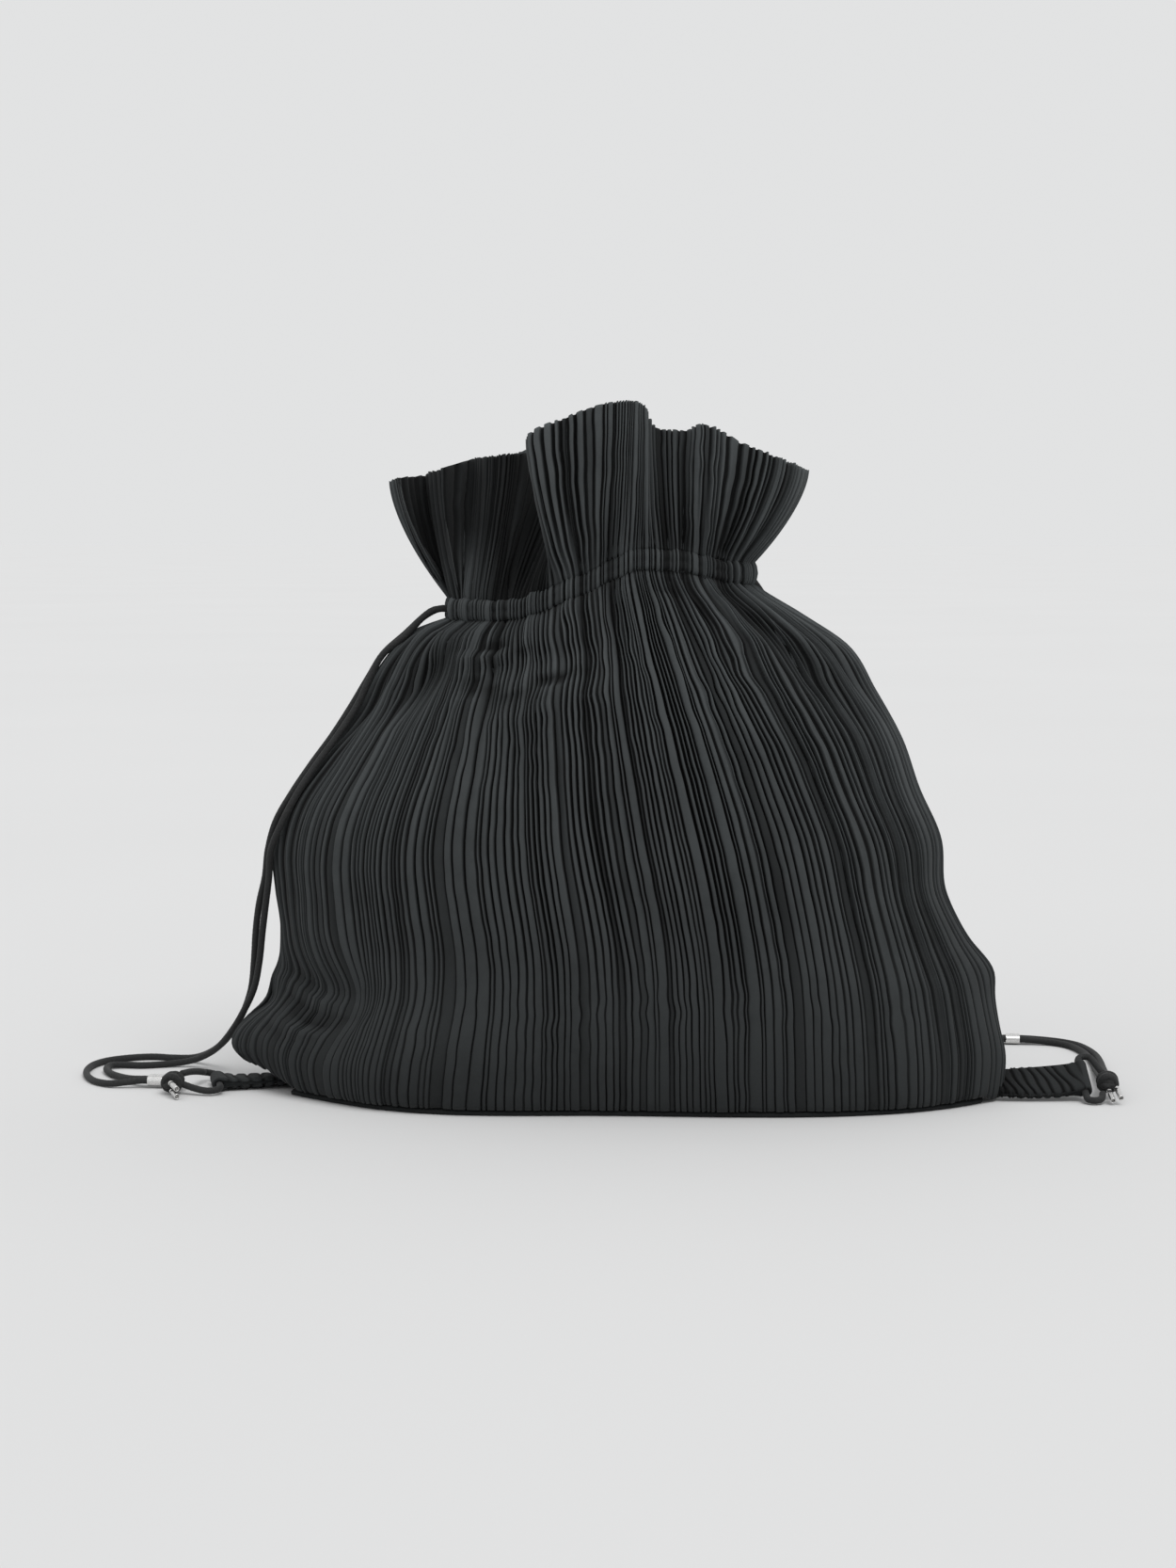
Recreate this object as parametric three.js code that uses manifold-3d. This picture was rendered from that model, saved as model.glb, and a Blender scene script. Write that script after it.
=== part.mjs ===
// A backpack of finely pleated cloth that is drawn shut by cords, standing on its own foot.
// Millimetres, +Z up. The front faces -Y and +X is to the right in the front view.
import * as THREE from 'three';
import { mergeVertices } from 'three/addons/utils/BufferGeometryUtils.js';
import Module from 'manifold-3d';

// Driving sizes of the bag
const baseWidth = 448;
const bellyDepth = 168;
const neckWidth = 176;
const neckDepth = 92;
const neckShift = -12;
const neckHeight = 299;
const neckRise = 28;
const clothWall = 2;
const frillHeight = 98;
const frillWidth = 240;
const frillDepth = 150;
const channelHeight = 13;
const channelThickness = 6.4;
const puckerDepth = 0.4;
const mouthDepth = 3.2;

// Driving sizes of the foot and the corner tabs
const panelThickness = 3;
const panelInset = 1.5;
const leftPanelCut = 33;
const rightPanelCut = 12;
const leftCornerLift = 11;
const rightCornerLift = 1.5;
const tabLength = 50;
const tabWidth = 24;
const tabThickness = 5;
const tabRidge = 0.8;
const tabRidgeCount = 6;
const eyeWall = 1.8;
const tipFlat = 0.05;

// Driving sizes of the cords and the pieces on them
const cordDiameter = 4;
const cordStraight = 3;
const strandSpacing = 4.6;
const crimpLength = 9;
const crimpWall = 0.7;
const knotWidth = 13;
const knotLength = 15;
const knotHeight = 13;
const agletDiameter = 3.2;
const agletLength = 12;
const agletBore = 2.2;
const agletBoreDepth = 5;

// Clearances
const gap = 0.3;
const cordClearance = 0.4;

// How many flat facets the curved walls are cut into
const bodyColumns = 56;
const bodyRows = 13;
const frillColumns = 90;
const frillRows = 4;
const cordSides = 8;
const cordStepDiameters = 3;
const roundSides = 10;
const loopStepDiameters = 2;

const { lerp, clamp, degToRad, smoothstep } = THREE.MathUtils;

// Body sections from the hem, level 0, to the neck, level 1. left, right, front and back run from
// 0 at the neck's own size to 1 at the base width and the belly depth. flat squares the section's
// middle, and corner runs from 0.5, a round end, towards 1, a pointed one.
const roundCorner = 0.5;
const bodySections = [
  { level: 0.00, left: 0.98, right: 1.00, front: 0.60, back: 0.55, flat: 3.4, corner: 0.80 },
  { level: 0.08, left: 1.05, right: 1.01, front: 0.78, back: 0.72, flat: 3.2, corner: 0.80 },
  { level: 0.15, left: 0.97, right: 0.98, front: 0.90, back: 0.84, flat: 3.0, corner: 0.75 },
  { level: 0.23, left: 0.86, right: 0.93, front: 0.97, back: 0.92, flat: 2.8, corner: 0.70 },
  { level: 0.31, left: 0.83, right: 0.85, front: 1.00, back: 0.96, flat: 2.6, corner: 0.66 },
  { level: 0.40, left: 0.85, right: 0.78, front: 1.00, back: 0.97, flat: 2.5, corner: 0.62 },
  { level: 0.50, left: 0.86, right: 0.75, front: 0.97, back: 0.93, flat: 2.4, corner: 0.60 },
  { level: 0.60, left: 0.79, right: 0.66, front: 0.90, back: 0.86, flat: 2.3, corner: 0.58 },
  { level: 0.70, left: 0.62, right: 0.59, front: 0.80, back: 0.75, flat: 2.2, corner: 0.56 },
  { level: 0.80, left: 0.45, right: 0.48, front: 0.66, back: 0.60, flat: 2.1, corner: 0.54 },
  { level: 0.88, left: 0.35, right: 0.38, front: 0.50, back: 0.45, flat: 2.0, corner: 0.52 },
  { level: 0.94, left: 0.25, right: 0.20, front: 0.32, back: 0.28, flat: 2.0, corner: 0.50 },
  { level: 0.98, left: 0.14, right: 0.06, front: 0.14, back: 0.12, flat: 2.0, corner: 0.50 },
  { level: 1.00, left: 0.00, right: 0.00, front: 0.00, back: 0.00, flat: 2.0, corner: 0.50 },
];

// How high the channel lies from its left end, side -1, to its right end, side 1, as shares of the rise
const neckLine = [
  { side: -1.00, height: -0.52 },
  { side: -0.50, height: -0.50 },
  { side: -0.05, height: 0.02 },
  { side: 0.35, height: 0.52 },
  { side: 1.00, height: 0.20 },
];

// Dents and bulges of the cloth: turn and level place one, spread and rise are its half sizes,
// and push is its depth as a share of the belly depth, outward where positive
const bodyDents = [
  { turn: 244, level: 0.00, spread: 20, rise: 0.20, push: 0.075 },
  { turn: 205, level: 0.21, spread: 20, rise: 0.05, push: -0.050 },
  { turn: 214, level: 0.33, spread: 14, rise: 0.06, push: 0.020 },
  { turn: 262, level: 0.81, spread: 22, rise: 0.05, push: 0.022 },
  { turn: 256, level: 0.90, spread: 16, rise: 0.03, push: -0.028 },
  { turn: 350, level: 0.42, spread: 16, rise: 0.08, push: -0.020 },
  { turn: 128, level: 0.30, spread: 22, rise: 0.10, push: -0.030 },
  { turn: 60, level: 0.55, spread: 24, rise: 0.12, push: -0.025 },
];

// Pull folds that run down from the neck: neck and foot are the turns where one starts and ends,
// reach is the level where it fades out, and push is its depth as a share of the belly depth
const pullFolds = [
  { neck: 20, foot: 14, reach: 0.70, spread: 7, push: -0.030 },
  { neck: 52, foot: 46, reach: 0.74, spread: 7, push: -0.036 },
  { neck: 88, foot: 88, reach: 0.78, spread: 7, push: -0.032 },
  { neck: 124, foot: 130, reach: 0.72, spread: 7, push: -0.036 },
  { neck: 158, foot: 166, reach: 0.70, spread: 7, push: -0.030 },
  { neck: 202, foot: 192, reach: 0.66, spread: 6, push: -0.030 },
  { neck: 226, foot: 214, reach: 0.76, spread: 7, push: -0.048 },
  { neck: 316, foot: 332, reach: 0.70, spread: 7, push: -0.042 },
  { neck: 338, foot: 346, reach: 0.72, spread: 6, push: -0.034 },
];

// Folds of the frill's top edge, counter-clockwise from the right. neck is the turn on the channel
// below, x and y are shares of half the frill's width and depth, and top is a share of its height.
const frillFolds = [
  { neck: 0, x: 1.00, y: 0.02, top: 0.60 },
  { neck: 18, x: 0.92, y: 0.38, top: 0.65 },
  { neck: 40, x: 0.70, y: 0.46, top: 0.70 },
  { neck: 58, x: 0.52, y: 0.80, top: 0.76 },
  { neck: 78, x: 0.24, y: 0.62, top: 0.80 },
  { neck: 98, x: 0.02, y: 0.88, top: 0.84 },
  { neck: 116, x: -0.24, y: 0.66, top: 0.80 },
  { neck: 134, x: -0.48, y: 0.80, top: 0.72 },
  { neck: 152, x: -0.68, y: 0.50, top: 0.62 },
  { neck: 168, x: -0.90, y: 0.46, top: 0.56 },
  { neck: 180, x: -1.02, y: 0.02, top: 0.53 },
  { neck: 190, x: -0.95, y: -0.30, top: 0.56 },
  { neck: 198, x: -0.87, y: -0.08, top: 0.58 },
  { neck: 208, x: -0.74, y: -0.34, top: 0.61 },
  { neck: 217, x: -0.63, y: -0.06, top: 0.67 },
  { neck: 227, x: -0.52, y: -0.36, top: 0.68 },
  { neck: 237, x: -0.37, y: -0.30, top: 0.70 },
  { neck: 243, x: -0.25, y: -0.18, top: 0.71 },
  { neck: 248, x: -0.21, y: -0.72, top: 0.74 },
  { neck: 253, x: -0.33, y: -0.98, top: 0.77 },
  { neck: 262, x: -0.14, y: -1.10, top: 0.87 },
  { neck: 272, x: 0.12, y: -1.08, top: 0.965 },
  { neck: 281, x: 0.28, y: -0.96, top: 0.95 },
  { neck: 287, x: 0.30, y: -0.70, top: 0.85 },
  { neck: 296, x: 0.42, y: -0.66, top: 0.82 },
  { neck: 307, x: 0.55, y: -0.84, top: 0.85 },
  { neck: 320, x: 0.72, y: -0.60, top: 0.75 },
  { neck: 333, x: 0.88, y: -0.50, top: 0.67 },
  { neck: 348, x: 0.98, y: -0.24, top: 0.61 },
];

// Levels of the right corner that the right tab's root has to stand clear of
const tabRootLevels = [0, 0.01];

// How soon the frill flares: 1 opens evenly from the channel to its top edge, more opens it low down
const flareBend = 2;

// How much further the wall is drawn in at a pointed corner than at a round one
const cornerInset = 4;

// Where the hem starts to lift at a corner, as a share of the way out to it
const hemLiftStart = 0.8;

// Where a tab rises from its strap's height to its eye's, as shares of its length
const eyeRise = { from: 0.6, to: 0.92 };

// The two corner tabs. turn is the way a tab points in plan, twist its tilt from root to tip, and
// lift how far the tip stands off the floor.
const tabs = {
  left: { turn: 198, rootTwist: 6, tipTwist: 0, lift: 0, y: 0 },
  right: { turn: 8, rootTwist: 34, tipTwist: 30, lift: 2, y: 3 },
};

// Where the strands leave the channel, as turns round the neck
const mouthTurns = { left_outer: 174, left_inner: 186, right_outer: 34, right_inner: 45 };

// The channel's cross-section, as shares of half its thickness, outward, and half its height, up
const channelSection = [
  { out: 0.35, up: -1 },
  { out: 1, up: -0.5 },
  { out: 1, up: 0.5 },
  { out: 0.35, up: 1 },
  { out: -0.35, up: 1 },
  { out: -1, up: 0.5 },
  { out: -1, up: -0.5 },
  { out: -0.35, up: -1 },
];

// A knot's core as a share of its width and height, and the turns of cord round it: their places as
// shares of its length, and their tilts
const knotCore = 0.8;
const knotWraps = [
  { along: 0.18, tilt: 16 },
  { along: -0.16, tilt: -20 },
];

// Crimps and knots lie where the cords bring them
const crimpPlaces = {
  left: new THREE.Vector3(-275.5, -16, 4.5),
  right: new THREE.Vector3(236, 178, 3.4),
};
const knotPlaces = {
  left: new THREE.Vector3(-261, -34, 6.9),
  right: new THREE.Vector3(284.5, 8, 10),
};

// The aglets' roots at their knot and the points that they head for
const agletPlaces = {
  left_a: { root: [-260, -41.9, 8.4], towards: [-253.5, -52, 6.8] },
  left_b: { root: [-259.6, -40.9, 3.5], towards: [-252.5, -53, 1.9] },
  right_a: { root: [284.9, 1.3, 6.8], towards: [287.2, -13, 1.9] },
  right_b: { root: [289.1, 1.9, 8.3], towards: [291.8, -12, 3.4] },
};

// Middle lines of the cords, chosen point by point from the mouths to the knots
const cordRoutes = {
  left_outer: [
    [-109, 6.7, 283.6], [-116, 6, 279.8], [-127, 2.8, 269.5], [-139.5, 0, 258], [-148.2, -2, 244],
    [-158, -5.5, 227], [-168.4, -11, 210], [-179.6, -16.1, 194], [-190.6, -20.9, 177], [-201.1, -17.4, 160],
    [-207, -12.7, 143], [-210.5, -6.5, 126], [-215.5, -1.5, 109], [-218.8, 3, 92], [-221, 7, 74],
    [-224, 12, 57], [-229.5, 18, 43], [-237, 26, 31], [-247, 37, 19], [-260, 50, 9], [-273, 60, 3.5],
    [-287, 65, 2.1], [-301, 67, 2.1], [-314, 62, 2.1], [-325, 52, 2.1], [-330, 38, 2.1], [-329, 20, 2.1],
    [-323, 2, 2.1], [-313, -13, 2.1], [-302, -20, 2.6], [-292, -19.4, 3.6], [-285, -18.4, 4.4],
    [-280.5, -18.3, 4.5], [-275.5, -18.3, 4.5], [-269, -18.6, 4.4], [-265.4, -21.2, 5.2],
    [-263.5, -26.6, 7],
  ],
  left_inner: [
    [-109, -6.9, 283.5], [-115.5, -7.2, 278.8], [-124.8, -7, 269], [-138.8, -7.5, 257.5],
    [-146, -9.4, 244], [-153.2, -12.4, 228], [-163.6, -18.1, 211], [-174.9, -22.1, 195], [-185.9, -26, 178],
    [-195.7, -25.6, 160], [-203.9, -19, 143], [-206.9, -12.1, 126], [-210.3, -7, 109], [-213.5, -2.5, 92],
    [-216.5, 1.5, 74], [-221, 6, 57], [-229, 12, 42], [-238, 20, 29], [-250, 32, 16], [-263, 42, 7.5],
    [-274, 47, 3.4], [-287, 44, 2.1], [-300, 39, 2.1], [-311, 39, 2.2], [-318, 36, 2.4], [-318.5, 26, 2.4],
    [-312, 12, 2.3], [-303, 1, 2.6], [-293, -9.4, 3.6], [-286.5, -13.3, 4.3], [-281.5, -13.7, 4.5],
    [-275.5, -13.7, 4.5], [-268.4, -13.6, 4.7], [-262.4, -17, 6.3], [-259.7, -25.4, 7.2],
  ],
  right_outer: [
    [67, 34.5, 307.4], [72.4, 43.4, 303], [80, 54, 292], [89, 63, 275], [98, 70, 254], [107, 76, 230],
    [116, 81, 204], [125, 86, 178], [134, 90, 152], [143, 94, 126], [152, 98, 100], [162, 104, 74],
    [173, 113, 49], [185, 126, 26], [197, 142, 9], [208, 159, 3], [218, 171, 3], [228, 175.6, 3.4],
    [236, 175.7, 3.4], [244, 175.6, 3.3], [254, 175.4, 2.6], [264, 172, 2.1], [272, 163, 2.1],
    [277.6, 148, 2.1], [281, 130, 2.1], [282.4, 110, 2.1], [282.6, 90, 2.6], [282.4, 70, 4.2],
    [282.4, 50, 6.4], [282.6, 32, 8.6], [282.8, 16, 10.4],
  ],
  right_inner: [
    [55.4, 43.4, 308.4], [62.4, 53, 302.6], [72, 62, 291], [82, 70.5, 273], [91.5, 77, 251], [101, 82, 226],
    [110.5, 87, 200], [119.5, 91.5, 174], [128.5, 95.5, 148], [137.5, 99.5, 122], [146.5, 104, 96],
    [156, 110.5, 71], [167, 120, 46], [178.5, 133, 24], [190, 149, 8], [201, 166, 2.6],
    [212, 177.6, 2.8], [222, 180.2, 3.3], [230, 180.3, 3.4], [236, 180.3, 3.4], [244, 180.4, 3.3],
    [256, 180.6, 2.6], [268, 176.6, 2.1], [277, 166, 2.1], [282.8, 150, 2.1], [286.4, 131, 2.1],
    [287.6, 110, 2.1], [287.6, 90, 2.6], [287.2, 70, 4.2], [287, 50, 6.4], [287.2, 32, 8.6],
    [287.3, 15.8, 10.4],
  ],
  left_loop: [
    [-256.6, -28.2, 11.2], [-254.2, -20, 10.6], [-252, -10, 8.9], [-251, -4, 7.5], [-251.5, 0.1, 6.6],
    [-251.3, 3.1, 5.9], [-248.9, 5.1, 5.2], [-245.9, 4.9, 4.7], [-243.9, 2.5, 4.4], [-242.7, -1.3, 4.3],
    [-238.6, -14.1, 4.3], [-234.4, -27, 4.3], [-233.2, -30.8, 4.1], [-233.5, -34.2, 3.6],
    [-236.1, -36.5, 3.1], [-240, -36.9, 3], [-246.4, -36, 3.9], [-254, -34.2, 5.8],
  ],
  right_loop: [
    [282, 13.4, 14.2], [279, 18.5, 17.4], [276.9, 22.2, 19.7], [275, 25, 21.2], [271.9, 25.7, 21.6],
    [269, 24.3, 20.8], [268.1, 21.6, 19.2], [268.4, 19.6, 18], [269.9, 9.4, 11.9], [271.3, -0.9, 5.9],
    [271.9, -4.4, 3.9], [272.6, -7.2, 2.9], [274.8, -8.9, 2.7], [277.8, -8.9, 2.8], [280.1, -7, 3.3],
    [280.9, -4.2, 4.2], [281.2, -1.2, 5.2],
  ],
};

const black = new THREE.Color(0x1b1d20);
const cordBlack = new THREE.Color(0x151618);
const silver = new THREE.Color(0xc9cac8);

const cordBore = cordDiameter / 2 + cordClearance;
const eyeRadius = cordBore + eyeWall;
const upward = new THREE.Vector3(0, 0, 1);

const wasm = await Module();
wasm.setup();

// One column of a table at a place, along a smooth curve through its rows
function readTable(rows, place, column, at) {
  const last = rows.length - 1;
  let row = 0;
  while (row < last - 1 && rows[row + 1][place] < at) {
    row += 1;
  }
  const low = rows[row];
  const high = rows[row + 1];
  const before = rows[Math.max(row - 1, 0)];
  const after = rows[Math.min(row + 2, last)];
  const span = high[place] - low[place];
  const t = clamp((at - low[place]) / span, 0, 1);
  const slopeLow = (high[column] - before[column]) * span / (high[place] - before[place]);
  const slopeHigh = (after[column] - low[column]) * span / (after[place] - low[place]);
  return low[column] * (2 * t ** 3 - 3 * t ** 2 + 1) + slopeLow * (t ** 3 - 2 * t ** 2 + t)
    + high[column] * (3 * t ** 2 - 2 * t ** 3) + slopeHigh * (t ** 3 - t ** 2);
}

// A ring table with its rows repeated one full turn before and after
function unroll(rows, place) {
  const shifted = (turn) => rows.map((row) => ({ ...row, [place]: row[place] + turn }));
  return [...shifted(-360), ...rows, ...shifted(360)];
}

const frillRing = unroll(frillFolds, 'neck');

// A round bump of height 1 whose half sizes are 1
function bump(across, along = 0) {
  return Math.exp(-(across ** 2) - along ** 2);
}

function turnBetween(a, b) {
  return ((a - b + 540) % 360) - 180;
}

// Height of the channel's middle line over a place along X
function channelLevel(x) {
  const side = clamp((x - neckShift) / (neckWidth / 2), -1, 1);
  return neckHeight + neckRise * readTable(neckLine, 'side', 'height', side);
}

// A point of the neck's oval at a turn, drawn in by an inset or moved out, at the height of the channel
function neckPoint(turn, inset = 0, out = 0) {
  const angle = degToRad(turn);
  const x = neckShift + (neckWidth / 2 - inset) * Math.cos(angle);
  const y = (neckDepth / 2 - inset) * Math.sin(angle);
  const point = new THREE.Vector3(x, y, 0).addScaledVector(neckOutward(turn), out);
  return point.setZ(channelLevel(point.x));
}

// The level way out from the neck at a turn
function neckOutward(turn) {
  const angle = degToRad(turn);
  return new THREE.Vector3(Math.cos(angle) / neckWidth, Math.sin(angle) / neckDepth, 0).normalize();
}

// How far the hem is lifted off the panel at a turn, at the two corners
function hemLift(turn) {
  const side = Math.cos(degToRad(turn));
  const lift = side < 0 ? leftCornerLift : rightCornerLift;
  return lift * smoothstep(Math.abs(side), hemLiftStart, 1);
}

// How far the dents and pull folds move the cloth at a turn and a level
function clothPush(turn, level) {
  let push = 0;
  for (const dent of bodyDents) {
    push += dent.push * bump(turnBetween(turn, dent.turn) / dent.spread, (level - dent.level) / dent.rise);
  }
  for (const fold of pullFolds) {
    const along = clamp((1 - level) / (1 - fold.reach), 0, 1);
    const middle = lerp(fold.neck, fold.foot, along);
    push += fold.push * Math.sin(Math.PI * along) ** 2 * bump(turnBetween(turn, middle) / fold.spread);
  }
  return push * bellyDepth;
}

// The body's cloth at a turn and a level. inset draws the wall in, for its inner face.
function bodyPoint(turn, level, inset = 0) {
  const read = (column) => readTable(bodySections, 'level', column, level);
  const angle = degToRad(turn);
  const across = Math.cos(angle);
  const toFront = Math.sin(angle) < 0;
  const corner = read('corner');
  const seam = inset * (1 + cornerInset * (corner - roundCorner));
  const leftReach = lerp(neckWidth / 2 - neckShift, baseWidth / 2, read('left')) - seam;
  const rightReach = lerp(neckWidth / 2 + neckShift, baseWidth / 2, read('right')) - seam;
  const deepReach = lerp(neckDepth / 2, bellyDepth / 2, read(toFront ? 'front' : 'back')) - inset;
  const x = (rightReach - leftReach + (rightReach + leftReach) * across) / 2;
  const y = deepReach * (1 - Math.abs(across) ** read('flat')) ** corner * (toFront ? -1 : 1);
  const bottom = panelThickness + gap + hemLift(turn);
  const top = neckPoint(turn, inset).z - channelHeight / 2 - gap;
  const outward = new THREE.Vector3(across, Math.sin(angle), 0);
  const point = new THREE.Vector3(x, y, lerp(bottom, top, level));
  return point.addScaledVector(outward, clothPush(turn, level));
}

// The frill's cloth at a turn of the channel and a share of its height
function frillPoint(turn, share) {
  const foot = neckPoint(turn);
  foot.z = Math.max(foot.z, neckPoint(turn, clothWall).z) + channelHeight / 2 + gap;
  const open = 1 - (1 - share) ** flareBend;
  const x = neckShift + readTable(frillRing, 'neck', 'x', turn) * frillWidth / 2;
  const y = readTable(frillRing, 'neck', 'y', turn) * frillDepth / 2;
  const top = neckHeight + channelHeight / 2 + readTable(frillRing, 'neck', 'top', turn) * frillHeight;
  return new THREE.Vector3(lerp(foot.x, x, open), lerp(foot.y, y, open), lerp(foot.z, top, share));
}

// A grid of points, rows from the bottom up and columns counter-clockwise round the ring
function ringGrid(rows, columns, pointAt) {
  const grid = [];
  for (let row = 0; row <= rows; row += 1) {
    const ring = [];
    for (let column = 0; column < columns; column += 1) {
      ring.push(pointAt(360 * column / columns, row / rows));
    }
    grid.push(ring);
  }
  return grid;
}

function meshFrom(points, triangles) {
  const geometry = new THREE.BufferGeometry();
  const numbers = points.flatMap((point) => point.toArray());
  geometry.setAttribute('position', new THREE.Float32BufferAttribute(numbers, 3));
  geometry.setIndex(triangles);
  return geometry;
}

// The triangles between each ring of points and the next, where a ring starts at its place in a list
function bandTriangles(ringCount, columns, closed) {
  const triangles = [];
  for (let ring = 0; ring < ringCount - (closed ? 0 : 1); ring += 1) {
    const here = ring * columns;
    const next = ((ring + 1) % ringCount) * columns;
    for (let column = 0; column < columns; column += 1) {
      const beside = (column + 1) % columns;
      triangles.push(here + column, here + beside, next + beside);
      triangles.push(here + column, next + beside, next + column);
    }
  }
  return triangles;
}

// A wall that goes round a ring: its rings of points run up the outside, over the rim and down the inside
function closedWall(rings) {
  return meshFrom(rings.flat(), bandTriangles(rings.length, rings[0].length, true));
}

// A bar through rings of points, with flat ends
function closedBar(rings) {
  const columns = rings[0].length;
  const triangles = bandTriangles(rings.length, columns, false);
  const lastRing = (rings.length - 1) * columns;
  for (let column = 1; column < columns - 1; column += 1) {
    triangles.push(0, column + 1, column);
    triangles.push(lastRing, lastRing + column, lastRing + column + 1);
  }
  return meshFrom(rings.flat(), triangles);
}

// The inner face of a folded wall: each point moved in, level with the floor, by the wall's thickness
function innerFace(outer, thickness) {
  const columns = outer[0].length;
  return outer.map((ring, row) => ring.map((point, column) => {
    const around = ring[(column + 1) % columns].clone().sub(ring[(column + columns - 1) % columns]);
    const above = outer[Math.min(row + 1, outer.length - 1)][column];
    const below = outer[Math.max(row - 1, 0)][column];
    const outward = around.cross(above.clone().sub(below)).setZ(0).normalize();
    return point.clone().addScaledVector(outward, -thickness);
  }));
}

// A geometry as a solid that can be joined and cut
function solidOf(geometry) {
  const plain = geometry.clone();
  plain.deleteAttribute('normal');
  plain.deleteAttribute('uv');
  const merged = mergeVertices(plain, 1e-4);
  return new wasm.Manifold(new wasm.Mesh({
    numProp: 3,
    vertProperties: new Float32Array(merged.attributes.position.array),
    triVerts: new Uint32Array(merged.index.array),
  }));
}

function geometryOf(solid) {
  const mesh = solid.getMesh();
  const geometry = new THREE.BufferGeometry();
  geometry.setAttribute('position', new THREE.BufferAttribute(mesh.vertProperties, 3));
  geometry.setIndex(new THREE.BufferAttribute(mesh.triVerts, 1));
  return geometry;
}

// A geometry whose own +Y axis is turned to a direction and whose middle is moved to a place
function aimed(geometry, direction, place) {
  const turn = new THREE.Quaternion().setFromUnitVectors(new THREE.Vector3(0, 1, 0), direction);
  return geometry.applyQuaternion(turn).translate(place.x, place.y, place.z);
}

function cloth(name, geometry) {
  const mesh = new THREE.Mesh(geometry, new THREE.MeshStandardMaterial({ color: black, roughness: 0.9 }));
  mesh.name = name;
  return mesh;
}

function cordPiece(name, geometry) {
  const mesh = new THREE.Mesh(geometry, new THREE.MeshStandardMaterial({ color: cordBlack, roughness: 0.8 }));
  mesh.name = name;
  return mesh;
}

function metal(name, geometry) {
  const material = new THREE.MeshStandardMaterial({ color: silver, roughness: 0.2, metalness: 1 });
  const mesh = new THREE.Mesh(geometry, material);
  mesh.name = name;
  return mesh;
}

function pleatedBody() {
  const outer = ringGrid(bodyRows, bodyColumns, (turn, level) => bodyPoint(turn, level));
  const inner = ringGrid(bodyRows, bodyColumns, (turn, level) => bodyPoint(turn, level, clothWall));
  return cloth('pleated_body', closedWall([...outer, ...inner.reverse()]));
}

function frillCollar() {
  const outer = ringGrid(frillRows, frillColumns, frillPoint);
  return cloth('frill_collar', closedWall([...outer, ...innerFace(outer, clothWall).reverse()]));
}

// The flat foot panel: the hem's outline, drawn in, and cut off short of the two corners
function basePanel() {
  const outline = [];
  for (let column = 0; column < bodyColumns; column += 1) {
    const edge = bodyPoint(360 * column / bodyColumns, 0, panelInset);
    outline.push(new THREE.Vector2(edge.x, edge.y));
  }
  const settings = { depth: panelThickness, bevelEnabled: false };
  let plate = solidOf(new THREE.ExtrudeGeometry(new THREE.Shape(outline), settings));
  for (const cutEnd of [-baseWidth / 2 + leftPanelCut, baseWidth / 2 - rightPanelCut]) {
    const beyond = new THREE.BoxGeometry(baseWidth, 2 * bellyDepth, 4 * panelThickness);
    beyond.translate(cutEnd + Math.sign(cutEnd) * baseWidth / 2, 0, 0);
    plate = plate.subtract(solidOf(beyond));
  }
  return cloth('base_panel', geometryOf(plate));
}

// The puckered band round the neck, drilled where the strands come out
function drawstringChannel() {
  const rings = channelSection.map(({ out, up }) => {
    const ring = [];
    for (let column = 0; column < bodyColumns; column += 1) {
      const turn = 360 * column / bodyColumns;
      const pucker = puckerDepth * out * (column % 2 ? 1 : -1);
      const reach = out * channelThickness / 2 + pucker;
      const point = neckPoint(turn, clothWall / 2, reach);
      point.z += up * channelHeight / 2;
      ring.push(point);
    }
    return ring;
  });
  let band = solidOf(closedWall(rings));
  for (const turn of Object.values(mouthTurns)) {
    const drill = new THREE.CylinderGeometry(cordBore, cordBore, 2 * mouthDepth, roundSides);
    band = band.subtract(solidOf(aimed(drill, neckOutward(turn), mouthPoint(turn, 0))));
  }
  return cloth('drawstring_channel', geometryOf(band));
}

// A point straight out from the channel's outer face at a turn, or inside the band where out is negative
function mouthPoint(turn, out) {
  return neckPoint(turn, clothWall / 2, channelThickness / 2 + out);
}

// Half the thickness of a tab at a distance from its root: ridged cloth, then the round eye at the tip
function tabHalfThickness(along) {
  const fromEye = along - (tabLength - eyeRadius);
  if (fromEye >= 0) {
    return Math.sqrt(eyeRadius ** 2 - fromEye ** 2);
  }
  const ridge = tabRidge * Math.cos(2 * Math.PI * tabRidgeCount * along / tabLength);
  const strap = (tabThickness - ridge) / 2;
  return lerp(eyeRadius, strap, smoothstep(-fromEye, 0, 2 * eyeRadius));
}

// A place in a tab: along from its root, across from its middle and up from its middle plane
function tabPoint(side, along, across, up) {
  const { turn, rootTwist, tipTwist, lift, y } = tabs[side];
  const twist = degToRad(lerp(rootTwist, tipTwist, along / tabLength));
  const half = Math.min(tabThickness / 2 + tabRidge, eyeRadius);
  const strapLow = Math.sin(twist) * tabWidth / 2 + Math.cos(twist) * half;
  const eyeLow = Math.sin(twist) * tabWidth / 2 + eyeRadius;
  const share = along / tabLength;
  const middle = lerp(strapLow, eyeLow, smoothstep(share, eyeRise.from, eyeRise.to)) + lift * share ** 2;
  const point = new THREE.Vector3(
    along,
    across * Math.cos(twist) - up * Math.sin(twist),
    middle + across * Math.sin(twist) + up * Math.cos(twist),
  );
  return point.applyAxisAngle(upward, degToRad(turn)).add(new THREE.Vector3(tabRootX(side), y, 0));
}

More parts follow.
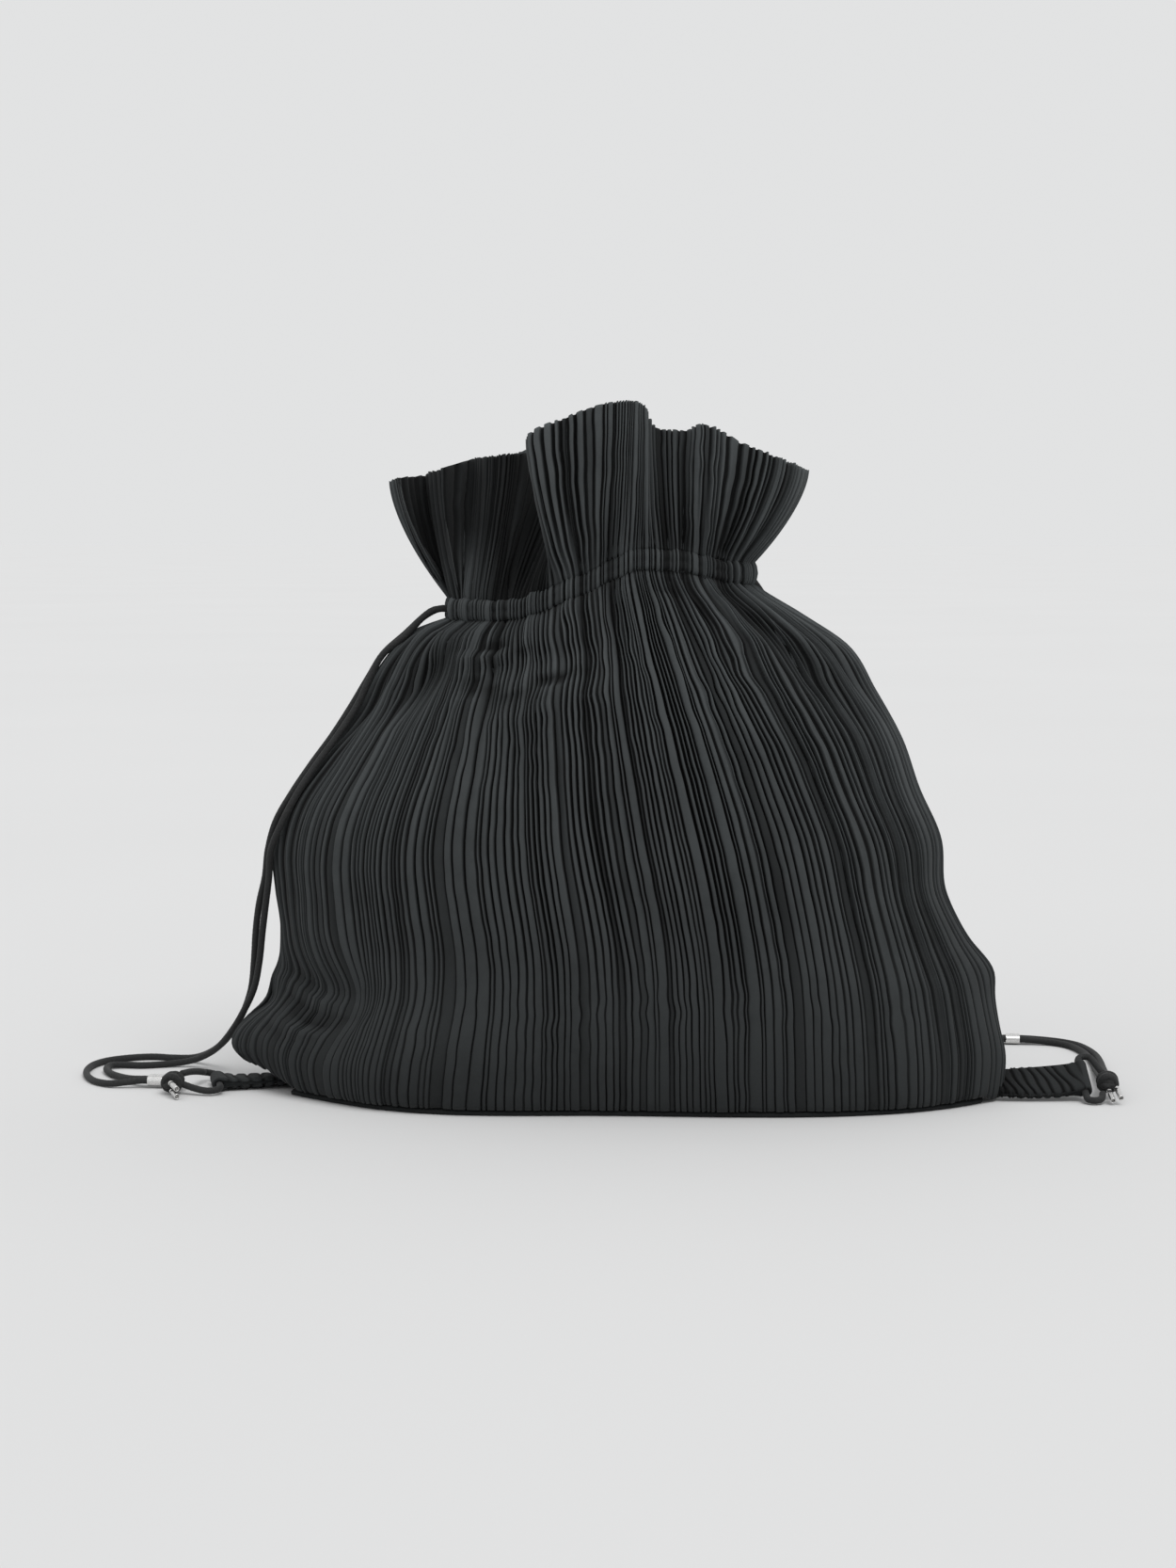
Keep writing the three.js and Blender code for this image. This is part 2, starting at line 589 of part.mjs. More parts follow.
// Where a tab starts: against the panel's end on the left, and against the body's corner on the right
function tabRootX(side) {
  if (side === 'left') {
    const slant = Math.abs(Math.sin(degToRad(tabs.left.turn))) * tabWidth / 2;
    return -baseWidth / 2 + leftPanelCut - gap - slant;
  }
  return Math.max(...tabRootLevels.map((level) => bodyPoint(0, level).x)) + gap;
}

function tab(side) {
  const steps = 3 * tabRidgeCount;
  const rings = [];
  for (let step = 0; step <= steps; step += 1) {
    const along = tabLength * step / steps - (step < steps ? 0 : tipFlat);
    const half = tabHalfThickness(along);
    const corners = [[-1, -1], [0, -1], [1, -1], [1, 1], [0, 1], [-1, 1]];
    rings.push(corners.map(([across, up]) => tabPoint(side, along, across * tabWidth / 2, up * half)));
  }
  const along = tabLength - eyeRadius;
  const front = tabPoint(side, along, -tabWidth, 0);
  const axis = tabPoint(side, along, tabWidth, 0).sub(front).normalize();
  const drill = new THREE.CylinderGeometry(cordBore, cordBore, 2 * tabWidth, roundSides);
  const eye = solidOf(aimed(drill, axis, tabPoint(side, along, 0, 0)));
  return cloth(`tab_${side}`, geometryOf(solidOf(closedBar(rings)).subtract(eye)));
}

// A cord along a curve through its points, with a ring of facets every so many diameters
function cord(name, points, stepDiameters) {
  const curve = new THREE.CatmullRomCurve3(points, false, 'centripetal');
  const steps = Math.round(curve.getLength() / (stepDiameters * cordDiameter));
  const circle = new THREE.Shape();
  for (let side = 0; side < cordSides; side += 1) {
    const angle = 2 * Math.PI * side / cordSides;
    const move = side === 0 ? 'moveTo' : 'lineTo';
    circle[move](cordDiameter / 2 * Math.cos(angle), cordDiameter / 2 * Math.sin(angle));
  }
  const settings = { steps, extrudePath: curve, bevelEnabled: false };
  return cordPiece(name, new THREE.ExtrudeGeometry(circle, settings));
}

// A strand that starts inside its mouth in the channel
function strand(name) {
  const inside = mouthPoint(mouthTurns[name], gap - mouthDepth);
  const outside = mouthPoint(mouthTurns[name], cordStraight);
  const route = cordRoutes[name].map((point) => new THREE.Vector3(...point));
  return cord(`cord_${name}`, [inside, outside, ...route], cordStepDiameters);
}

// The short stretch of cord that goes through a tab's eye
function loop(side) {
  const route = cordRoutes[`${side}_loop`].map((point) => new THREE.Vector3(...point));
  return cord(`cord_${side}_loop`, route, loopStepDiameters);
}

// A flat double tube round the two strands of a side
function crimp(side) {
  const bore = capsuleShape(strandSpacing, cordBore);
  const tube = capsuleShape(strandSpacing, cordBore + crimpWall);
  tube.holes.push(bore);
  const settings = { depth: crimpLength, bevelEnabled: false, curveSegments: roundSides / 2 };
  const geometry = new THREE.ExtrudeGeometry(tube, settings).translate(0, 0, -crimpLength / 2);
  geometry.rotateX(Math.PI / 2).rotateZ(Math.PI / 2);
  const place = crimpPlaces[side];
  return metal(`crimp_${side}`, geometry.translate(place.x, place.y, place.z));
}

// Two half circles of a radius, joined by straight lines, with a spacing between their middles
function capsuleShape(spacing, radius) {
  const shape = new THREE.Shape();
  shape.moveTo(-spacing / 2, -radius);
  shape.lineTo(spacing / 2, -radius);
  shape.absarc(spacing / 2, 0, radius, -Math.PI / 2, Math.PI / 2);
  shape.lineTo(-spacing / 2, radius);
  shape.absarc(-spacing / 2, 0, radius, Math.PI / 2, 3 * Math.PI / 2);
  return shape;
}

// A knot: a core with two turns of cord wrapped round it
function knot(side) {
  const core = new THREE.SphereGeometry(0.5, 8, 6);
  let lump = solidOf(core.scale(knotWidth * knotCore, knotLength, knotHeight * knotCore));
  for (const { along, tilt } of knotWraps) {
    const wrap = new THREE.TorusGeometry((knotHeight - cordDiameter) / 2, cordDiameter / 2, 6, 8);
    wrap.scale(knotWidth / knotHeight, 1, 1).rotateX(Math.PI / 2 + degToRad(tilt));
    wrap.translate(0, along * knotLength, 0);
    lump = lump.add(solidOf(wrap));
  }
  const place = knotPlaces[side];
  return cordPiece(`knot_${side}`, geometryOf(lump).translate(place.x, place.y, place.z));
}

// A metal tube on a cord's end, closed at its root and open at its tip
function aglet(name) {
  const { root, towards } = agletPlaces[name];
  const start = new THREE.Vector3(...root);
  const direction = new THREE.Vector3(...towards).sub(start).normalize();
  const profile = [
    [0, 0], [agletDiameter / 2, 0], [agletDiameter / 2, agletLength], [agletBore / 2, agletLength],
    [agletBore / 2, agletLength - agletBoreDepth], [0, agletLength - agletBoreDepth],
  ];
  const geometry = new THREE.LatheGeometry(profile.map(([x, y]) => new THREE.Vector2(x, y)), roundSides);
  return metal(`aglet_${name}`, aimed(geometry, direction, start));
}

const bag = new THREE.Group();
bag.add(pleatedBody(), basePanel(), drawstringChannel(), frillCollar());
for (const side of ['left', 'right']) {
  bag.add(tab(side), crimp(side), knot(side));
  bag.add(strand(`${side}_outer`), strand(`${side}_inner`), loop(side));
  bag.add(aglet(`${side}_a`), aglet(`${side}_b`));
}

export default bag;
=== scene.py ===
import math

import bpy
import numpy as np
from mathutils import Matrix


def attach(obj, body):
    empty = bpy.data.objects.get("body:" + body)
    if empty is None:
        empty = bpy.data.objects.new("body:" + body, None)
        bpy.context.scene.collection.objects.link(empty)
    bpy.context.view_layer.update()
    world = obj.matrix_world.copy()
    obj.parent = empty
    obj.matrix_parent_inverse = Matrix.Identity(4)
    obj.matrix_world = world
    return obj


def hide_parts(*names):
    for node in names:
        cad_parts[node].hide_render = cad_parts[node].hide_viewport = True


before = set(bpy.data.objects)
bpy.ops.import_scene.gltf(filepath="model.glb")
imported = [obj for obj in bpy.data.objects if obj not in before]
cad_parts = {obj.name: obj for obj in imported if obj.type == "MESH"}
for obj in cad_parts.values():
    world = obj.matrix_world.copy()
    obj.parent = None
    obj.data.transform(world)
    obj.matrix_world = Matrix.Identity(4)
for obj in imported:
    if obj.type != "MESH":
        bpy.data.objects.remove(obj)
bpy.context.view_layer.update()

MM = 0.001

# Driving sizes, as in the solids
BASE_WIDTH = 448
BELLY_DEPTH = 168
NECK_WIDTH = 176
NECK_DEPTH = 92
NECK_SHIFT = -12
NECK_HEIGHT = 299
NECK_RISE = 28
CLOTH_WALL = 2
FRILL_HEIGHT = 98
FRILL_WIDTH = 240
FRILL_DEPTH = 150
CHANNEL_HEIGHT = 13
CHANNEL_THICKNESS = 6.4
PANEL_THICKNESS = 3
PANEL_INSET = 1.5
LEFT_PANEL_CUT = 33
RIGHT_PANEL_CUT = 12
LEFT_CORNER_LIFT = 11
RIGHT_CORNER_LIFT = 1.5
TAB_LENGTH = 50
TAB_WIDTH = 24
EYE_RADIUS = 4.2
CORD_DIAMETER = 4
CORD_STRAIGHT = 3
MOUTH_DEPTH = 3.2
STRAND_SPACING = 4.6
CRIMP_LENGTH = 9
CRIMP_WALL = 0.7
AGLET_DIAMETER = 3.2
AGLET_LENGTH = 12
AGLET_BORE = 2.2
AGLET_BORE_DEPTH = 5
CORD_BORE = 2.4
GAP = 0.3
FLARE_BEND = 1.6
HEM_LIFT_START = 0.8
CORNER_INSET = 4
ROUND_CORNER = 0.5


def rows_of(names, rows):
    """A table: one array for each named column."""
    return dict(zip(names.split(), np.array(rows, float).T))


BODY_SECTIONS = rows_of("level left right front back flat corner", [
    (0.00, 0.98, 1.00, 0.60, 0.55, 3.4, 0.80),
    (0.08, 1.05, 1.01, 0.78, 0.72, 3.2, 0.80),
    (0.15, 0.97, 0.98, 0.90, 0.84, 3.0, 0.75),
    (0.23, 0.86, 0.93, 0.97, 0.92, 2.8, 0.70),
    (0.31, 0.83, 0.85, 1.00, 0.96, 2.6, 0.66),
    (0.40, 0.85, 0.78, 1.00, 0.97, 2.5, 0.62),
    (0.50, 0.86, 0.75, 0.97, 0.93, 2.4, 0.60),
    (0.60, 0.79, 0.66, 0.90, 0.86, 2.3, 0.58),
    (0.70, 0.62, 0.59, 0.80, 0.75, 2.2, 0.56),
    (0.80, 0.45, 0.48, 0.66, 0.60, 2.1, 0.54),
    (0.88, 0.35, 0.38, 0.50, 0.45, 2.0, 0.52),
    (0.94, 0.25, 0.20, 0.32, 0.28, 2.0, 0.50),
    (0.98, 0.14, 0.06, 0.14, 0.12, 2.0, 0.50),
    (1.00, 0.00, 0.00, 0.00, 0.00, 2.0, 0.50),
])

NECK_LINE = rows_of("side height", [
    (-1.00, -0.52),
    (-0.50, -0.50),
    (-0.05, 0.02),
    (0.35, 0.52),
    (1.00, 0.20),
])

# Dents and bulges: turn, level, half sizes, and push as a share of the belly depth
BODY_DENTS = rows_of("turn level spread rise push", [
    (244, 0.00, 20, 0.20, 0.075),
    (205, 0.21, 20, 0.05, -0.050),
    (214, 0.33, 14, 0.06, 0.020),
    (262, 0.81, 22, 0.05, 0.022),
    (256, 0.90, 16, 0.03, -0.028),
    (350, 0.42, 16, 0.08, -0.020),
    (128, 0.30, 22, 0.10, -0.030),
    (60, 0.55, 24, 0.12, -0.025),
    (186, 0.14, 16, 0.045, -0.070),
    (188, 0.03, 16, 0.040, 0.045),
    (2, 0.25, 15, 0.045, 0.036),
    (8, 0.12, 12, 0.040, -0.012),
])

PULL_FOLDS = rows_of("neck foot reach spread push", [
    (20, 14, 0.70, 7, -0.030),
    (52, 46, 0.74, 7, -0.036),
    (88, 88, 0.78, 7, -0.032),
    (124, 130, 0.72, 7, -0.036),
    (158, 166, 0.70, 7, -0.030),
    (202, 192, 0.66, 6, -0.030),
    (226, 214, 0.76, 7, -0.048),
    (316, 332, 0.70, 7, -0.042),
    (338, 346, 0.72, 6, -0.034),
])

FRILL_FOLDS = rows_of("neck x y top", [
    (0, 1, 0.02, 0.6),
    (18, 0.92, 0.38, 0.65),
    (40, 0.7, 0.46, 0.7),
    (58, 0.52, 0.8, 0.76),
    (78, 0.24, 0.62, 0.8),
    (98, 0.02, 0.88, 0.84),
    (116, -0.24, 0.66, 0.8),
    (134, -0.48, 0.8, 0.72),
    (152, -0.68, 0.5, 0.62),
    (168, -0.9, 0.46, 0.56),
    (180, -1.02, 0.02, 0.53),
    (188, -0.95, -0.3, 0.56),
    (195, -0.87, 0.06, 0.58),
    (203, -0.74, -0.34, 0.61),
    (210, -0.63, 0.08, 0.67),
    (219, -0.52, -0.36, 0.68),
    (232, -0.36, -0.36, 0.7),
    (242, -0.21, 0.06, 0.71),
    (251, -0.14, -0.66, 0.74),
    (258, -0.28, -0.98, 0.77),
    (266, -0.11, -1.1, 0.87),
    (275, 0.12, -1.08, 0.965),
    (290, 0.28, -0.96, 0.95),
    (297, 0.3, -0.7, 0.85),
    (305, 0.42, -0.66, 0.82),
    (314, 0.55, -0.84, 0.85),
    (324, 0.72, -0.6, 0.75),
    (335, 0.88, -0.5, 0.67),
    (348, 0.98, -0.24, 0.61),
])

# Where single pleats wander along the cloth: share 0.5 is the left seam and 1 the right one, level 1
# is the neck, and drift is how far, as a share of the way round
PLEAT_DRIFTS = rows_of("share level spread rise drift", [
    (0.555, 0.20, 0.035, 0.10, 0.016),
    (0.670, 1.00, 0.060, 0.16, -0.010),
    (0.760, 0.86, 0.040, 0.05, 0.004),
    (0.900, 0.80, 0.040, 0.10, -0.005),
])

TABS = {
    "left": {"turn": 198, "root_twist": 6, "tip_twist": 0, "lift": 0, "y": 0},
    "right": {"turn": 8, "root_twist": 34, "tip_twist": 30, "lift": 2, "y": 3},
}
MOUTH_TURNS = {"left_outer": 174, "left_inner": 186, "right_outer": 34, "right_inner": 45}
CRIMP_PLACES = {"left": (-275.5, -16, 4.5), "right": (236, 178, 3.4)}
KNOT_PLACES = {"left": (-261, -34, 6.9), "right": (284.5, 8, 10)}
AGLET_PLACES = {
    "left_a": ((-260, -41.9, 8.4), (-253.5, -52, 6.8)),
    "left_b": ((-259.6, -40.9, 3.5), (-252.5, -53, 1.9)),
    "right_a": ((284.9, 1.3, 6.8), (287.2, -13, 1.9)),
    "right_b": ((289.1, 1.9, 8.3), (291.8, -12, 3.4)),
}

# Middle lines of the cords, as in the solids
CORD_ROUTES = {
    "left_outer": [
        (-109, 6.7, 283.6), (-116, 6, 279.8), (-127, 2.8, 269.5), (-139.5, 0, 258), (-148.2, -2, 244),
        (-158, -5.5, 227), (-168.4, -11, 210), (-179.6, -16.1, 194), (-190.6, -20.9, 177),
        (-201.1, -17.4, 160), (-207, -12.7, 143), (-210.5, -6.5, 126), (-215.5, -1.5, 109), (-218.8, 3, 92),
        (-221, 7, 74), (-224, 12, 57), (-229.5, 18, 43), (-237, 26, 31), (-247, 37, 19), (-260, 50, 9),
        (-273, 60, 3.5), (-287, 65, 2.1), (-301, 67, 2.1), (-314, 62, 2.1), (-325, 52, 2.1), (-330, 38, 2.1),
        (-329, 20, 2.1), (-323, 2, 2.1), (-313, -13, 2.1), (-302, -20, 2.6), (-292, -19.4, 3.6),
        (-285, -18.4, 4.4), (-280.5, -18.3, 4.5), (-275.5, -18.3, 4.5), (-269, -18.6, 4.4),
        (-265.4, -21.2, 5.2), (-263.5, -26.6, 7),
    ],
    "left_inner": [
        (-109, -6.9, 283.5), (-115.5, -7.2, 278.8), (-124.8, -7, 269), (-138.8, -7.5, 257.5),
        (-146, -9.4, 244), (-153.2, -12.4, 228), (-163.6, -18.1, 211), (-174.9, -22.1, 195),
        (-185.9, -26, 178), (-195.7, -25.6, 160), (-203.9, -19, 143), (-206.9, -12.1, 126), (-210.3, -7, 109),
        (-213.5, -2.5, 92), (-216.5, 1.5, 74), (-221, 6, 57), (-229, 12, 42), (-238, 20, 29), (-250, 32, 16),
        (-263, 42, 7.5), (-274, 47, 3.4), (-287, 44, 2.1), (-300, 39, 2.1), (-311, 39, 2.2), (-318, 36, 2.4),
        (-318.5, 26, 2.4), (-312, 12, 2.3), (-303, 1, 2.6), (-293, -9.4, 3.6), (-286.5, -13.3, 4.3),
        (-281.5, -13.7, 4.5), (-275.5, -13.7, 4.5), (-268.4, -13.6, 4.7), (-262.4, -17, 6.3),
        (-259.7, -25.4, 7.2),
    ],
    "right_outer": [
        (67, 34.5, 307.4), (72.4, 43.4, 303), (80, 54, 292), (89, 63, 275), (98, 70, 254), (107, 76, 230),
        (116, 81, 204), (125, 86, 178), (134, 90, 152), (143, 94, 126), (152, 98, 100), (162, 104, 74),
        (173, 113, 49), (185, 126, 26), (197, 142, 9), (208, 159, 3), (218, 171, 3), (228, 175.6, 3.4),
        (236, 175.7, 3.4), (244, 175.6, 3.3), (254, 175.4, 2.6), (264, 172, 2.1), (272, 163, 2.1),
        (277.6, 148, 2.1), (281, 130, 2.1), (282.4, 110, 2.1), (282.6, 90, 2.6), (282.4, 70, 4.2),
        (282.4, 50, 6.4), (282.6, 32, 8.6), (282.8, 16, 10.4),
    ],
    "right_inner": [
        (55.4, 43.4, 308.4), (62.4, 53, 302.6), (72, 62, 291), (82, 70.5, 273), (91.5, 77, 251),
        (101, 82, 226), (110.5, 87, 200), (119.5, 91.5, 174), (128.5, 95.5, 148), (137.5, 99.5, 122),
        (146.5, 104, 96), (156, 110.5, 71), (167, 120, 46), (178.5, 133, 24), (190, 149, 8), (201, 166, 2.6),
        (212, 177.6, 2.8), (222, 180.2, 3.3), (230, 180.3, 3.4), (236, 180.3, 3.4), (244, 180.4, 3.3),
        (256, 180.6, 2.6), (268, 176.6, 2.1), (277, 166, 2.1), (282.8, 150, 2.1), (286.4, 131, 2.1),
        (287.6, 110, 2.1), (287.6, 90, 2.6), (287.2, 70, 4.2), (287, 50, 6.4), (287.2, 32, 8.6),
        (287.3, 15.8, 10.4),
    ],
    "left_loop": [
        (-256.6, -28.2, 11.2), (-254.2, -20, 10.6), (-252, -10, 8.9), (-251, -4, 7.5), (-251.5, 0.1, 6.6),
        (-251.3, 3.1, 5.9), (-248.9, 5.1, 5.2), (-245.9, 4.9, 4.7), (-243.9, 2.5, 4.4), (-242.7, -1.3, 4.3),
        (-238.6, -14.1, 4.3), (-234.4, -27, 4.3), (-233.2, -30.8, 4.1), (-233.5, -34.2, 3.6),
        (-236.1, -36.5, 3.1), (-240, -36.9, 3), (-246.4, -36, 3.9), (-254, -34.2, 5.8),
    ],
    "right_loop": [
        (282, 13.4, 14.2), (279, 18.5, 17.4), (276.9, 22.2, 19.7), (275, 25, 21.2), (271.9, 25.7, 21.6),
        (269, 24.3, 20.8), (268.1, 21.6, 19.2), (268.4, 19.6, 18), (269.9, 9.4, 11.9), (271.3, -0.9, 5.9),
        (271.9, -4.4, 3.9), (272.6, -7.2, 2.9), (274.8, -8.9, 2.7), (277.8, -8.9, 2.8), (280.1, -7, 3.3),
        (280.9, -4.2, 4.2), (281.2, -1.2, 5.2),
    ],
}


# Camera. The focal length and the place of the bag's foot are in the picture's pixels.
PICTURE_WIDTH, PICTURE_HEIGHT = 1250, 1666
FOCAL = 2923
FOOT_AT = (659, 1160)
SENSOR_WIDTH = 36
CAMERA_TURN = math.radians(6)
CAMERA_AWAY = 1600
CAMERA_HEIGHT = 330


def make_camera():
    data = bpy.data.cameras.new("camera")
    data.sensor_width = SENSOR_WIDTH
    data.lens = FOCAL / PICTURE_HEIGHT * SENSOR_WIDTH
    data.shift_x = (PICTURE_WIDTH / 2 - FOOT_AT[0]) / PICTURE_HEIGHT
    camera = bpy.data.objects.new("camera", data)
    below_level = math.atan2(CAMERA_HEIGHT, CAMERA_AWAY)
    below_axis = math.atan((FOOT_AT[1] - PICTURE_HEIGHT / 2) / FOCAL)
    tilt = math.pi / 2 - (below_level - below_axis)
    camera.rotation_euler = (tilt, 0, CAMERA_TURN)
    away = CAMERA_AWAY * MM
    camera.location = (math.sin(CAMERA_TURN) * away, -math.cos(CAMERA_TURN) * away, CAMERA_HEIGHT * MM)
    bpy.context.scene.collection.objects.link(camera)
    bpy.context.scene.camera = camera


make_camera()


# Materials
class Nodes:
    """Short names for making a material's nodes."""

    def __init__(self, name):
        self.material = bpy.data.materials.new(name)
        self.material.use_nodes = True
        self.tree = self.material.node_tree
        self.shader = self.tree.nodes["Principled BSDF"]

    def set(self, **values):
        for name, value in values.items():
            self.shader.inputs[name.replace("_", " ")].default_value = value
        return self

    def add(self, kind, inputs=None, **values):
        node = self.tree.nodes.new(kind)
        for name, value in values.items():
            setattr(node, name, value)
        for name, value in (inputs or {}).items():
            if isinstance(value, bpy.types.NodeSocket):
                self.tree.links.new(value, node.inputs[name])
            else:
                node.inputs[name].default_value = value
        return node

    def link(self, output, socket):
        self.tree.links.new(output, self.shader.inputs[socket])

    def noise(self, scale, detail=3.0, vector=None, roughness=0.5):
        place = vector or self.add("ShaderNodeTexCoord").outputs["Object"]
        values = {"Vector": place, "Scale": scale, "Detail": detail, "Roughness": roughness}
        return self.add("ShaderNodeTexNoise", values).outputs["Fac"]

    def ramp(self, value, stops):
        node = self.add("ShaderNodeValToRGB", {"Fac": value})
        elements = node.color_ramp.elements
        while len(elements) < len(stops):
            elements.new(0.5)
        for element, (place, colour) in zip(elements, stops):
            element.position = place
            element.color = colour
        return node.outputs["Color"]

    def span(self, value, low, high, to_low, to_high):
        values = {"Value": value, "From Min": low, "From Max": high, "To Min": to_low, "To Max": to_high}
        return self.add("ShaderNodeMapRange", values).outputs["Result"]

    def sum(self, first, second, share):
        """One value and a share of another."""
        node = self.add("ShaderNodeMath", {0: second, 1: share, 2: first}, operation="MULTIPLY_ADD")
        return node.outputs[0]

    def product(self, first, second):
        return self.add("ShaderNodeMath", {0: first, 1: second}, operation="MULTIPLY").outputs[0]

    def bump(self, height, strength, distance):
        values = {"Height": height, "Strength": strength, "Distance": distance}
        self.link(self.add("ShaderNodeBump", values).outputs["Normal"], "Normal")


def grey(value, tint=(1.0, 1.0, 1.0)):
    return (value * tint[0], value * tint[1], value * tint[2], 1)


# The cloth's colour: a cool tint, how dark the painted shade in the deepest fold is, and painted light that
# makes it darker low down and brighter towards the top, from one height in metres to another
CLOTH_TINT = (0.91, 1.0, 1.03)
DEEPEST_PAINTED_SHADE = 0.07
PAINTED_LIGHT_BY_HEIGHT = (0.0, 0.34, 0.58, 1.80)


def cloth_material(name, dark, light):
    """Matt woven cloth: crepe grain, faint threads, and shades that vary from place to place. It has painted
    shade, read from the mesh, in its folds and grooves, and painted light that makes it darker low down and
    brighter towards the top."""
    m = Nodes(name)
    m.set(Roughness=0.86, Specular_IOR_Level=0.18, Sheen_Weight=0.03, Sheen_Roughness=0.45)
    place = m.add("ShaderNodeTexCoord").outputs["Object"]
    broad = m.span(m.noise(14, 3, place), 0.3, 0.7, 0.0, 0.7)
    patches = m.span(m.noise(95, 4, place, 0.65), 0.3, 0.7, 0.0, 1.0)
    fine = m.noise(900, 3, place, 0.6)
    shade = m.sum(m.sum(broad, fine, 0.55), patches, 0.4)
    colour = m.ramp(shade, [(0.15, grey(dark, CLOTH_TINT)), (1.0, grey(light, CLOTH_TINT))])
    fold = m.add("ShaderNodeAttribute", attribute_name="fold").outputs["Fac"]
    height = m.add("ShaderNodeSeparateXYZ", {0: place}).outputs["Z"]
    # painted shade in the folds, times painted light that is darker low down and brighter towards the top
    strength = m.product(m.span(fold, 0.0, 1.0, 1.0, DEEPEST_PAINTED_SHADE), m.span(height, *PAINTED_LIGHT_BY_HEIGHT))
    shaded = m.add("ShaderNodeVectorMath", {0: colour, 1: strength}, operation="MULTIPLY")
    m.link(shaded.outputs[0], "Base Color")
    m.link(m.span(fine, 0.3, 0.7, 0.80, 0.92), "Roughness")
    grain = m.noise(2600, 2, place, 0.6)
    stretched = m.add("ShaderNodeMapping", {"Vector": place, "Scale": (1.0, 1.0, 0.3)}).outputs["Vector"]
    threads = m.noise(1900, 2, stretched, 0.5)
    m.bump(m.sum(m.sum(grain, threads, 0.8), fine, 0.8), 0.35, 0.00025)
    return m.material


def braid_material(name):
    m = Nodes(name)
    m.set(Roughness=0.78, Specular_IOR_Level=0.2, Sheen_Weight=0.06, Sheen_Roughness=0.5)
    fine = m.noise(1500, 2)
    m.link(m.ramp(fine, [(0.3, grey(0.014)), (0.75, grey(0.032, (0.96, 1.0, 1.02)))]), "Base Color")
    m.bump(m.noise(3200, 2), 0.3, 0.0002)
    return m.material


def metal_material(name):
    m = Nodes(name)
    m.set(Metallic=1.0, Roughness=0.22, Specular_IOR_Level=0.5)
    place = m.add("ShaderNodeTexCoord").outputs["Object"]
    scratch = m.add("ShaderNodeMapping", {"Vector": place, "Scale": (1.0, 1.0, 6.0)}).outputs["Vector"]
    worn = m.noise(700, 3, scratch, 0.6)
    m.link(m.ramp(worn, [(0.3, grey(0.60)), (0.7, grey(0.80, (1.0, 0.99, 0.97)))]), "Base Color")
    m.link(m.span(worn, 0.3, 0.7, 0.14, 0.32), "Roughness")
    m.bump(m.noise(1800, 2, scratch), 0.12, 0.0001)
    return m.material


# Each slot's material
MATERIALS = {
    "pleated_cloth": cloth_material("pleated_cloth", 0.028, 0.044),
    "base_cloth": cloth_material("foot_cloth", 0.014, 0.020),
    "cord_braid": braid_material("cord_braid"),
    "bright_metal": metal_material("bright_metal"),
}


# Meshes
def make_piece(name, points, faces, slot, node):
    """A mesh from points in millimetres that rides on the bag's one body and stands for a CAD node."""
    mesh = bpy.data.meshes.new(name)
    points = np.asarray(points, np.float32) * MM
    faces = np.asarray(faces, np.int32)
    mesh.vertices.add(len(points))
    mesh.vertices.foreach_set("co", points.ravel())
    mesh.loops.add(faces.size)
    mesh.loops.foreach_set("vertex_index", faces.ravel())
    mesh.polygons.add(len(faces))
    mesh.polygons.foreach_set("loop_start", np.arange(0, faces.size, 3, dtype=np.int32))
    mesh.polygons.foreach_set("use_smooth", np.full(len(faces), True))
    mesh.update(calc_edges=True)
    mesh.validate()
    mesh.materials.append(MATERIALS[slot])
    piece = bpy.data.objects.new(name, mesh)
    bpy.context.scene.collection.objects.link(piece)
    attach(piece, "root")
    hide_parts(node)
    return piece


def unit(vectors):
    return vectors / np.maximum(np.linalg.norm(vectors, axis=-1, keepdims=True), 1e-12)


def grid_faces(rows, columns, start=0, ring=False, closed=False):
    """Two triangles for each cell of a grid of points that starts at an index. ring joins its last
    column to the first, and closed its last row to the first."""
    cells_up, cells_across = rows if closed else rows - 1, columns if ring else columns - 1
    row, column = (values.ravel() for values in np.indices((cells_up, cells_across)))
    up, beside = (row + 1) % rows, (column + 1) % columns
    a, b = start + row * columns + column, start + row * columns + beside
    c, d = start + up * columns + beside, start + up * columns + column
    return np.concatenate([np.stack([a, b, c], 1), np.stack([a, c, d], 1)])


# A cloth's inner face has a point for every so many of its outer face's
INNER_STEP = 4


def stitch(fine, coarse):
    """The rim between a ring of points and one that has a point for every INNER_STEP of them."""
    faces = []
    for k in range(len(coarse)):
        first, last = coarse[k], coarse[(k + 1) % len(coarse)]
        start = k * INNER_STEP
        for i in range(start, start + INNER_STEP):
            faces.append((fine[(i + 1) % len(fine)], fine[i % len(fine)], first))
        faces.append((first, last, fine[(start + INNER_STEP) % len(fine)]))
    return np.array(faces)


def wall(outer, inner, ring):
    """A closed cloth wall: a fine outer face, an inner one that is thinned out, and the rims between them."""
    inner = inner[::INNER_STEP, ::INNER_STEP]
    rows, columns = outer.shape[:2]
    few_rows, few_columns = inner.shape[:2]
    start = rows * columns
    points = np.concatenate([outer.reshape(-1, 3), inner.reshape(-1, 3)])
    outside = grid_faces(rows, columns, 0, ring)
    inside = grid_faces(few_rows, few_columns, start, ring)[:, ::-1]
    index = np.arange(start).reshape(rows, columns)
    few = start + np.arange(few_rows * few_columns).reshape(few_rows, few_columns)
    if ring:
        low = stitch(index[0], few[0])
        high = stitch(index[-1], few[-1])[:, ::-1]
        return points, np.concatenate([outside, inside, low, high])
    edge = np.concatenate([index[0, :-1], index[:-1, -1], index[-1, :0:-1], index[:0:-1, 0]])
    few_edge = np.concatenate([few[0, :-1], few[:-1, -1], few[-1, :0:-1], few[:0:-1, 0]])
    return points, np.concatenate([outside, inside, stitch(edge, few_edge)])


